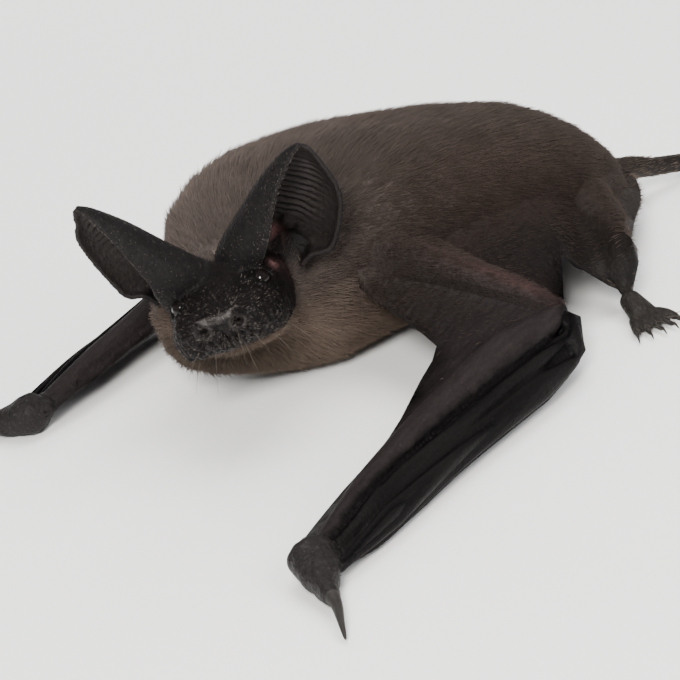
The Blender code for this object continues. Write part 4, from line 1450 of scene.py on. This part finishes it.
def lock_heading(tree, given, up):
    """The way each lock turns: along the lie, with some wander, and lifted from the skin."""
    span = {0: (-1.0, -1.0, -1.0), 1: (1.0, 1.0, 1.0), 8: given["Seed"]}
    wander = add_node(tree, "FunctionNodeRandomValue", span, data_type="FLOAT_VECTOR").outputs[0]
    heading = added(tree, field(tree, "lie", "FLOAT_VECTOR"), scaled(tree, wander, given["Stray"]))
    heading = added(tree, heading, scaled(tree, up, given["Lift"]))
    turn = add_node(tree, "FunctionNodeAlignRotationToVector", {"Vector": heading}, axis="Z").outputs[0]
    facing = {"Rotation": turn, "Vector": up}
    return add_node(tree, "FunctionNodeAlignRotationToVector", facing, axis="X", pivot_axis="Z").outputs[0]


def lock_size(tree, given):
    """Width, width and length of each lock, in metres."""
    long = calc(tree, "MULTIPLY", field(tree, "length"), chance(tree, given["Seed"], 0.7, 1.2, 2))
    long = calc(tree, "MULTIPLY", long, given["Length"])
    wide = calc(tree, "MULTIPLY", given["Width"], chance(tree, given["Seed"], 0.7, 1.3, 3))
    return scaled(tree, triple(tree, wide, wide, long), MM)


def lock_tree():
    """Scatters points, stands a spike on each, turns and sizes it, and gives it its material."""
    tree = bpy.data.node_groups.new("locks", "GeometryNodeTree")
    given = tree_inputs(tree)
    density = calc(tree, "MULTIPLY", field(tree, given["Where"]), given["Density"])
    inputs = {"Mesh": given["Geometry"], "Seed": given["Seed"], "Density": density}
    scatter = add_node(tree, "GeometryNodeDistributePointsOnFaces", inputs, distribute_method="RANDOM")
    roots = noted(tree, scatter.outputs["Points"], "up", scatter.outputs["Normal"], "FLOAT_VECTOR")
    roots = noted(tree, roots, "tone", chance(tree, given["Seed"], 0.0, 1.0, 1))
    turn = lock_heading(tree, given, field(tree, "up", "FLOAT_VECTOR"))
    inputs = {"Points": roots, "Instance": bent_spike(tree, given["Bend"])}
    inputs.update({"Rotation": turn, "Scale": lock_size(tree, given)})
    locks = add_node(tree, "GeometryNodeInstanceOnPoints", inputs).outputs[0]
    real = add_node(tree, "GeometryNodeRealizeInstances", {"Geometry": locks}).outputs[0]
    inputs = {"Geometry": real, "Material": given["Material"]}
    dressed = add_node(tree, "GeometryNodeSetMaterial", inputs).outputs[0]
    add_node(tree, "NodeGroupOutput", {"Geometry": dressed})
    return tree


LOCKS = lock_tree()
print("coat tree:", len(LOCKS.nodes), "nodes")

# %% [markdown]
# ## How the hair takes the light
# A hair is darker at its root, where its neighbours shade it, and no two are quite alike. So the stored
# colour is multiplied by three factors: one from root to tip, one for the lock, and one for broad patches.

# %% Coat materials
def rough_look(shader, roughness, gloss):
    shader.inputs["Roughness"].default_value = roughness
    shader.inputs["Specular IOR Level"].default_value = gloss


def coat_material():
    made, tree, shader = new_material("coat_hair")
    light = sloped(tree, attribute(tree, "along"), 0.44, 0.66)
    vary = sloped(tree, attribute(tree, "tone"), 0.3, 0.84)
    cloud = sloped(tree, clouds(tree, object_place(tree), 260.0, 3.0), 0.6, 0.7)
    factor = calc(tree, "MULTIPLY", calc(tree, "MULTIPLY", light, vary), cloud)
    tree.links.new(tinted(tree, attribute(tree, "fur", "Color"), factor), shader.inputs["Base Color"])
    rough_look(shader, 0.7, 0.15)
    return made


def hair_material(name, colour):
    made, tree, shader = new_material(name)
    vary = sloped(tree, attribute(tree, "tone"), 1.1, 0.4)
    light = sloped(tree, attribute(tree, "along"), 0.5, 0.6)
    plain = add_node(tree, "ShaderNodeRGB").outputs[0]
    plain.default_value = (*colour, 1.0)
    tree.links.new(tinted(tree, plain, calc(tree, "MULTIPLY", vary, light)), shader.inputs["Base Color"])
    rough_look(shader, 0.7, 0.1)
    return made


look = coat_material()
print("coat material:", len(look.node_tree.nodes), "nodes")

# %% [markdown]
# ## Growing the coat in bands
# A real coat has far more hairs than this one has locks. Here there are up to 20 locks on each square
# millimetre, so they are grown in bands from nose to tail, and each band is a mesh of its own. The short
# hairs of the face and the pale hairs of the lip and ears are grown the same way, with sizes of their own.

# %% Grow the coat
PIECE_LOCKS = 20500  # the most in one piece
LOCK_POINTS = 2 * LOCK_SIDES + 1
UV_PATCH = 0.003  # size of one lock's patch on the chart
SHORT_PER_MM2 = 9.0
SHORT_HAIR = {"Width": 0.06, "Length": 0.4, "Lift": 0.3}
SHORT_COLOUR = srgb(30, 26, 25)
PALE_PER_MM2 = 8.0
PALE_HAIR = {"Width": 0.07, "Length": 0.22, "Lift": 0.6}
PALE_COLOUR = srgb(112, 105, 98)
AXIS_HEIGHT = 14.0  # height of the line that the coat is unrolled from


def read_array(collection, field, width, kind=np.float32):
    flat = np.empty(len(collection) * width, dtype=kind)
    collection.foreach_get(field, flat)
    return flat.reshape(-1, width) if width > 1 else flat


def point_areas(mesh):
    """The share of the skin's area that belongs to each point, in square millimetres."""
    sizes = read_array(mesh.polygons, "loop_total", 1, np.int32)
    each = read_array(mesh.polygons, "area", 1) / MM**2 / sizes
    corners = read_array(mesh.loops, "vertex_index", 1, np.int32)
    return np.bincount(corners, np.repeat(each, sizes), len(mesh.vertices))


def grow(name, material, **inputs):
    """Locks all over the skin, as one plain mesh."""
    carrier = bpy.data.objects.new(name, skin.data.copy())
    bpy.context.scene.collection.objects.link(carrier)
    grower = carrier.modifiers.new("locks", "NODES")
    grower.node_group = LOCKS
    for key, value in inputs.items():
        grower[socket_of(LOCKS, key)] = value
    grower[socket_of(LOCKS, "Material")] = material
    return applied(carrier)


def map_locks(made):
    """Unrolls the body like a label off a tin, and sets each lock's small patch at its root's place."""
    mesh = made.data
    locks = read_points(mesh).reshape(-1, LOCK_POINTS, 3)
    step = read_array(mesh.attributes["along"].data, "value", 1).reshape(-1, LOCK_POINTS)[0]
    root = locks[:, step < 0.25].mean(axis=1)
    angle = np.arctan2(root[:, 0], AXIS_HEIGHT - root[:, 2]) / (2 * pi) + 0.5
    along_body = (root[:, 1] - points[:, 1].min()) / np.ptp(points[:, 1])
    corner = np.stack([np.arange(LOCK_POINTS) % LOCK_SIDES / LOCK_SIDES, step], -1)
    place = np.stack([angle, along_body], -1)[:, None] * (1.0 - UV_PATCH) + corner * UV_PATCH
    chart = mesh.uv_layers.new(name="OFBake")
    index = read_array(mesh.loops, "vertex_index", 1, np.int32)
    chart.data.foreach_set("uv", place.reshape(-1, 2)[index].astype(np.float32).ravel())


skin_area = point_areas(skin.data).sum()
print("area of the skin:", round(float(skin_area) / 100.0, 1), "square centimetres")

# %% [markdown]
# ## Band by band
# The expected number of locks is summed from the nose to the tail, and a new band starts each time that
# the sum reaches a piece's share. The cuts can't be seen, since every lock belongs to one piece only.

# %% Grow the bands
def grow_coat(name, where, values, density, material, **inputs):
    """Grows one kind of hair in as many pieces as it needs, from front to back."""
    weight = values * point_areas(skin.data) * density
    pieces = int(np.ceil(weight.sum() / PIECE_LOCKS))
    order = np.argsort(points[:, 1])
    band = np.empty(len(points), dtype=int)
    band[order] = np.minimum(np.cumsum(weight[order]) / weight.sum() * pieces, pieces - 1).astype(int)
    grown = []
    for k in range(pieces):
        label = "%s_%d" % (where, k)
        store(skin.data, label, "FLOAT", values * (band == k))
        made = grow("%s_%d" % (name, k), material, Density=density / MM**2, Where=label, Seed=k + 1, **inputs)
        map_locks(made)
        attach(made, "root")
        grown.append(len(made.data.vertices) // LOCK_POINTS)
    print(name, "locks:", grown)


grow_coat("coat", "coat", dense, COAT_PER_MM2, look)
look = hair_material("face_hair", SHORT_COLOUR)
grow_coat("short_hair", "bare_hair", bare_hair(points, labels), SHORT_PER_MM2, look, **SHORT_HAIR)
look = hair_material("pale_tips", PALE_COLOUR)
grow_coat("pale_hair", "pale_hair", pale_hair(points, labels), PALE_PER_MM2, look, **PALE_HAIR)

# %% [markdown]
# ## Skin
# Bare skin is leathery: fine pores, streaks along the folded wing, and the stored folds. All of it is
# raised by a bump node, whose height is in millimetres here. The bottoms of the folds and the low parts
# of the pores' relief are darkened as painted shade, and some of the pale flakes are painted glints.

# %% Skin material
STREAK_RELIEF = 0.22  # heights in millimetres
PORE_RELIEF = -0.14
GRAIN_RELIEF = 0.08


def skin_relief(tree, folds, streaks, pores, fine, coarse):
    """The bump over the bare skin: folds, streaks, pores and a fine grain."""
    height = calc(tree, "MULTIPLY", folds, 1.0 - FOLD_SHARE)
    height = sloped(tree, streaks, STREAK_RELIEF, height)
    height = sloped(tree, calc(tree, "MULTIPLY", pores, coarse), PORE_RELIEF, height)
    height = sloped(tree, calc(tree, "MULTIPLY", fine, coarse), GRAIN_RELIEF, height)
    return add_node(tree, "ShaderNodeBump", {"Height": height, "Distance": MM, "Strength": 1.0}).outputs[0]


def scurf_and_glints(tree, place, coarse):
    """Small pale flakes and painted glints, most of them where the skin is rough."""
    flakes = {"Value": clouds(tree, place, 2600.0, 1.0), "From Min": 0.66, "From Max": 0.75}
    flakes.update({"To Min": 0.0, "To Max": 0.9})
    return calc(tree, "MULTIPLY", add_node(tree, "ShaderNodeMapRange", flakes).outputs[0], coarse)


def skin_material():
    made, tree, shader = new_material("bare_skin")
    place = object_place(tree)
    streaks = clouds(tree, attribute(tree, "grain", "Vector"), 1.1, 5.0, Roughness=0.6)
    blotches = clouds(tree, place, 220.0, 4.0)
    cells = {"Vector": place, "Scale": 1900.0}
    pores = add_node(tree, "ShaderNodeTexVoronoi", cells, feature="SMOOTH_F1").outputs[0]
    fine = clouds(tree, place, 1500.0, 3.0)
    wave = calc(tree, "ABSOLUTE", calc(tree, "SINE", calc(tree, "MULTIPLY", attribute(tree, "fold"), pi)))
    folds = calc(tree, "MULTIPLY", sloped(tree, wave, 2.0, -1.0), attribute(tree, "fold_depth"))
    coarse = attribute(tree, "coarse")
    tree.links.new(skin_relief(tree, folds, streaks, pores, fine, coarse), shader.inputs["Normal"])
    # painted shade: darker in the bottoms of the folds and where the pores' relief is low; the streaks are
    # the skin's own tone, and the scurf adds pale flakes, some of them painted glints
    shade = sloped(tree, folds, 2.2, 0.45)
    shade = sloped(tree, streaks, 0.9, shade)
    shade = sloped(tree, pores, -0.25, shade)
    shade = calc(tree, "ADD", calc(tree, "MAXIMUM", shade, 0.2), scurf_and_glints(tree, place, coarse))
    tree.links.new(tinted(tree, attribute(tree, "tint", "Color"), shade), shader.inputs["Base Color"])
    rough = sloped(tree, coarse, -0.1, sloped(tree, blotches, 0.3, 0.48))
    rough_look(shader, 0.5, 0.11)
    tree.links.new(rough, shader.inputs["Roughness"])
    return made


skin.data.materials.clear()
skin.data.materials.append(skin_material())
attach(skin, "root")
covered = [name for name in frame["nodes"] if not name.startswith(("eye_", "thumb_claw_"))]
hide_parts(*covered)
print("solids that the skin stands for:", len(covered))

# %% [markdown]
# ## Eyes and claws
# The eye is a small black bead, wet enough to mirror the lamp by the lens. The claws are dark horn in
# thin layers, which a stretched noise shows as light and dark. Each claw is a tapered tube along a curve.

# %% Small parts
CLAW_HIGH = 1.25
EYE_COLOUR = (0.012, 0.009, 0.008)
HORN_DARK = srgb(26, 24, 23)
HORN_PALE = srgb(46, 43, 41)
TOE_CLAW = (0.34, 0.5)  # half the width and half the height at the root


def smooth_object(name, points, faces, material, slot, *nodes):
    made = object_from(name, points, faces)
    made.data.shade_smooth()
    made.data.materials.append(material)
    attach(made, "root")
    if nodes:
        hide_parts(*nodes)
    return made


def several(shells):
    """Shells put together as one."""
    points, faces, start = [], [], 0
    for shell, sides in shells:
        points.append(shell)
        faces += [tuple(i + start for i in face) for face in sides]
        start += len(shell)
    return np.vstack(points), faces


def spike(path, wide, tall, sides=8, rings=14):
    """A pointed, curved tube from the first point of a path to its last."""
    place = np.linspace(0.0, 1.0, rings)
    ahead = unit(along(path, np.minimum(place + 0.02, 1.0)) - along(path, np.maximum(place - 0.02, 0.0)))
    across = unit(np.cross(ahead, (0.0, 0.05, 1.0)))
    taper = np.sqrt(np.clip(1.0 - place, 0.0, 1.0)) * (1.0 - 0.35 * place) + 0.03
    high = tall * taper
    return tube(ovals(along(path, place), across, np.cross(across, ahead), wide * taper, high, high, sides))


def eye_material():
    made, tree, shader = new_material("wet_eye")
    dark = add_node(tree, "ShaderNodeRGB").outputs[0]
    dark.default_value = (*EYE_COLOUR, 1.0)
    mottled = clouds(tree, object_place(tree), 900.0, 2.0)
    tree.links.new(tinted(tree, dark, mottled), shader.inputs["Base Color"])
    shader.inputs["Roughness"].default_value = 0.05
    shader.inputs["IOR"].default_value = 1.32
    return made


def horn_material():
    made, tree, shader = new_material("horn")
    layers = clouds(tree, object_place(tree), 900.0, 3.0, Distortion=0.4)
    ramp = add_node(tree, "ShaderNodeValToRGB", {0: layers})
    ramp.color_ramp.elements[0].color = (*HORN_DARK, 1.0)
    ramp.color_ramp.elements[1].color = (*HORN_PALE, 1.0)
    tree.links.new(ramp.outputs[0], shader.inputs["Base Color"])
    raised = add_node(tree, "ShaderNodeBump", {"Height": layers, "Distance": 0.06 * MM}).outputs[0]
    tree.links.new(raised, shader.inputs["Normal"])
    rough_look(shader, 0.6, 0.2)
    return made


test_spike = spike([(0.0, 0.0, 0.0), (1.0, 0.0, 0.0), (2.0, 0.0, -0.5)], 0.2, 0.2)
print("one claw:", len(test_spike[0]), "points")

# %% [markdown]
# ## Setting the eyes and claws
# The eye sits in its socket, so that the lids' ring covers its rim. A thumb's claw starts inside the
# hand and a toe's inside the toe, and what would reach under the floor is pressed flat on it.

# %% Eyes and claws
def add_eye(side, wing, look):
    middle = on_head(EYE * (1.0, wing["side"], 1.0))
    smooth_object("eyeball_" + side, *ball(middle, EYE_SIZE), look, "eye", "eye_" + side)


def add_thumb_nail(side, wing, look):
    thumb, tip = vec(wing["thumb"]), vec(wing["claw"])
    back = unit(vec(wing["wrist"]) - thumb)
    path = [thumb + back * 2.0, thumb, mix(thumb, tip, 0.55) + vec((0, 0, 0.5)), tip]
    claw_points, claw_faces = spike(path, 1.0, CLAW_HIGH, 14, 24)
    claw_points[:, 2] = np.maximum(claw_points[:, 2], 0.0)
    smooth_object("thumb_nail_" + side, claw_points, claw_faces, look, "claw", "thumb_claw_" + side)


def add_toe_nails(side, wing, look):
    claws = []
    for path in toe_paths(wing)[1]:
        middle = mix(path[2], path[3], 0.55) + vec((0, 0, 0.45))
        claws.append(spike([mix(path[1], path[2], 0.8), path[2], middle, path[3]], *TOE_CLAW, 8, 12))
    claw_points, claw_faces = several(claws)
    claw_points[:, 2] = np.maximum(claw_points[:, 2], 0.0)
    smooth_object("toe_nails_" + side, claw_points, claw_faces, look, "claw")
    print("claws of the foot,", side + ":", len(claws))


eye_look, horn = eye_material(), horn_material()
for side, wing in WINGS.items():
    add_eye(side, wing, eye_look)
    add_thumb_nail(side, wing, horn)
    add_toe_nails(side, wing, horn)

# %% [markdown]
# ## Touch bristles
# Free-tailed bats carry stiff bristles on the lips and chin, and longer ones that fringe the toes and
# comb the fur. Each is a thin tapered tube. Its root is put on the nearest point of the skin, and its
# tip hangs a little, as a long hair does.

# %% Bristles
# forward, left and up of the root, reach forward, left and up
WHISKERS = [
    (12.6, 1.6, -4.6, 2.5, 0.8, -6.0),
    (12.0, -3.2, -4.6, 2.2, -1.6, -5.2),
    (9.8, 5.8, -5.2, 1.4, 3.0, -5.6),
    (10.6, -5.6, -4.9, 1.6, -2.6, -4.6),
    (13.8, 4.2, -3.4, 4.0, 2.2, -2.6),
    (13.8, -4.6, -3.2, 4.2, -2.4, -2.2),
    (14.9, 1.2, -3.0, 4.4, 0.4, -3.4),
    (7.4, 7.6, -5.4, 0.8, 3.6, -4.2),
]
WHISKER_WIDE = 0.045  # half the width at the root
BRISTLE_WIDE = 0.05
TOE_BRISTLE = 5.0  # length
skin_tree = tree_of(points)


def whisker(root, reach):
    foot = vec(skin_tree.find(on_head(root))[0])
    reach = vec(reach) @ HEAD
    near = foot + reach * 0.4
    far = foot + reach * 0.75 - vec((0, 0, 0.2))
    return spike([foot, near, far, foot + reach - vec((0, 0, 0.7))], WHISKER_WIDE, WHISKER_WIDE, 5, 8)


def toe_bristle(path, number, lean):
    """A bristle on a toe, leaning to one side of it."""
    ahead = unit(vec(path[3]) - vec(path[1]))
    foot = mix(path[1], path[2], 0.5 + 0.3 * lean) + vec((0, 0, 0.5))
    way = unit(ahead + vec((-ahead[1], ahead[0], 0.0)) * lean + vec((0, 0, 0.45)))
    long = 0.7 + 0.3 * cos(3.0 * number + 9.0 * lean)
    far = foot + way * TOE_BRISTLE * long - vec((0, 0, 0.8))
    return spike([foot, mix(foot, far, 0.5) + vec((0, 0, 0.5)), far], BRISTLE_WIDE, BRISTLE_WIDE, 4, 7)


bristles = [whisker(row[:3], row[3:]) for row in WHISKERS]
for wing in WINGS.values():
    for number, path in enumerate(toe_paths(wing)[1]):
        for lean in (-0.35, 0.1, 0.4):
            bristles.append(toe_bristle(path, number, lean))
smooth_object("bristles", *several(bristles), hair_material("bristle", srgb(150, 140, 128)), "fur")
print("bristles:", len(bristles))

# %% [markdown]
# ## Floor, lights and camera
# A pale, plain floor and four soft lamps stand in for the studio. The key lamp is above the lens, where
# a flash would be, so it models the face and lays a soft shadow under the belly. The fill, top and back
# lamps lift the dark sides. They are left out of mirror images, so the dark skin keeps its depth.

# %% Stage
FLOOR_COLOUR = (0.80, 0.79, 0.77, 1.0)
FLOOR_SIZE = 30.0  # metres
VIEW_TURN = 68.0  # degrees from the bat's front towards its left side
VIEW_LIFT = 26.0
VIEW_ROLL = 14.0
VIEW_FROM = np.array([257.65, -131.43, 143.35])  # millimetres from the origin
LENS = 106.4
SENSOR = 36.0
DAYLIGHT = (0.8, 0.82, 0.85, 1.0)
DAYLIGHT_STRENGTH = 0.42
UNDER_BAT = (0.0, 0.0, 0.0)
# name, place, target, size and power, colour, and whether it shows in mirror images
LAMPS = [
    ("key", (0.34, -0.25, 0.36), (0.0, -0.02, 0.01), 0.16, 4.8, (1.0, 0.98, 0.95), True),
    ("fill", (0.55, 0.25, 0.45), UNDER_BAT, 0.4, 4.4, (0.97, 0.98, 1.0), False),
    ("top", (-0.12, 0.18, 0.70), UNDER_BAT, 0.5, 6.4, (1.0, 1.0, 1.0), False),
    ("back", (-0.52, 0.12, 0.34), UNDER_BAT, 0.4, 3.6, (1.0, 1.0, 1.0), False),
]


def floor():
    bpy.ops.mesh.primitive_plane_add(size=FLOOR_SIZE)
    made = bpy.context.object
    made.name = "floor"
    made.data.materials.append(plain_material("floor_paper", FLOOR_COLOUR, 0.9))
    return made


def plain_material(name, colour, rough):
    made = bpy.data.materials.new(name)
    made.use_nodes = True
    shader = made.node_tree.nodes["Principled BSDF"]
    shader.inputs["Base Color"].default_value = colour
    shader.inputs["Roughness"].default_value = rough
    return made


print("floor:", FLOOR_SIZE, "m wide")

# %% [markdown]
# ## Camera and lamps
# The lens looks down on the bat from its front left, tilted a little. Its axes are built from three
# turns, as a tripod head has: round, up and down, and over to the side.

# %% Camera and lamps
def view_axes():
    turn, lift, roll = radians(VIEW_TURN), radians(VIEW_LIFT), radians(VIEW_ROLL)
    right = vec((cos(turn), sin(turn), 0.0))
    up = vec((-sin(turn) * sin(lift), cos(turn) * sin(lift), cos(lift)))
    back = vec((sin(turn) * cos(lift), -cos(turn) * cos(lift), sin(lift)))
    return cos(roll) * right - sin(roll) * up, sin(roll) * right + cos(roll) * up, back


def camera():
    data = bpy.data.cameras.new("lens")
    data.lens, data.sensor_width = LENS, SENSOR
    data.clip_start, data.clip_end = 0.01, 50.0
    made = bpy.data.objects.new("camera", data)
    bpy.context.scene.collection.objects.link(made)
    right, up, back = view_axes()
    turned = Matrix((right, up, back)).transposed().to_4x4()
    turned.translation = Vector(VIEW_FROM * MM)
    made.matrix_world = turned
    bpy.context.scene.camera = made


def lamp(name, place, target, size, power, colour, mirrored):
    data = bpy.data.lights.new(name, "AREA")
    data.size, data.energy, data.color = size, power, colour
    made = bpy.data.objects.new(name, data)
    bpy.context.scene.collection.objects.link(made)
    made.location = place
    made.rotation_euler = (Vector(target) - Vector(place)).to_track_quat("-Z", "Y").to_euler()
    made.visible_glossy = mirrored


floor()
camera()
for row in LAMPS:
    lamp(*row)
world = bpy.data.worlds.new("studio")
world.use_nodes = True
world.node_tree.nodes["Background"].inputs["Color"].default_value = DAYLIGHT
world.node_tree.nodes["Background"].inputs["Strength"].default_value = DAYLIGHT_STRENGTH
bpy.context.scene.world = world
print("lamps:", len(LAMPS))
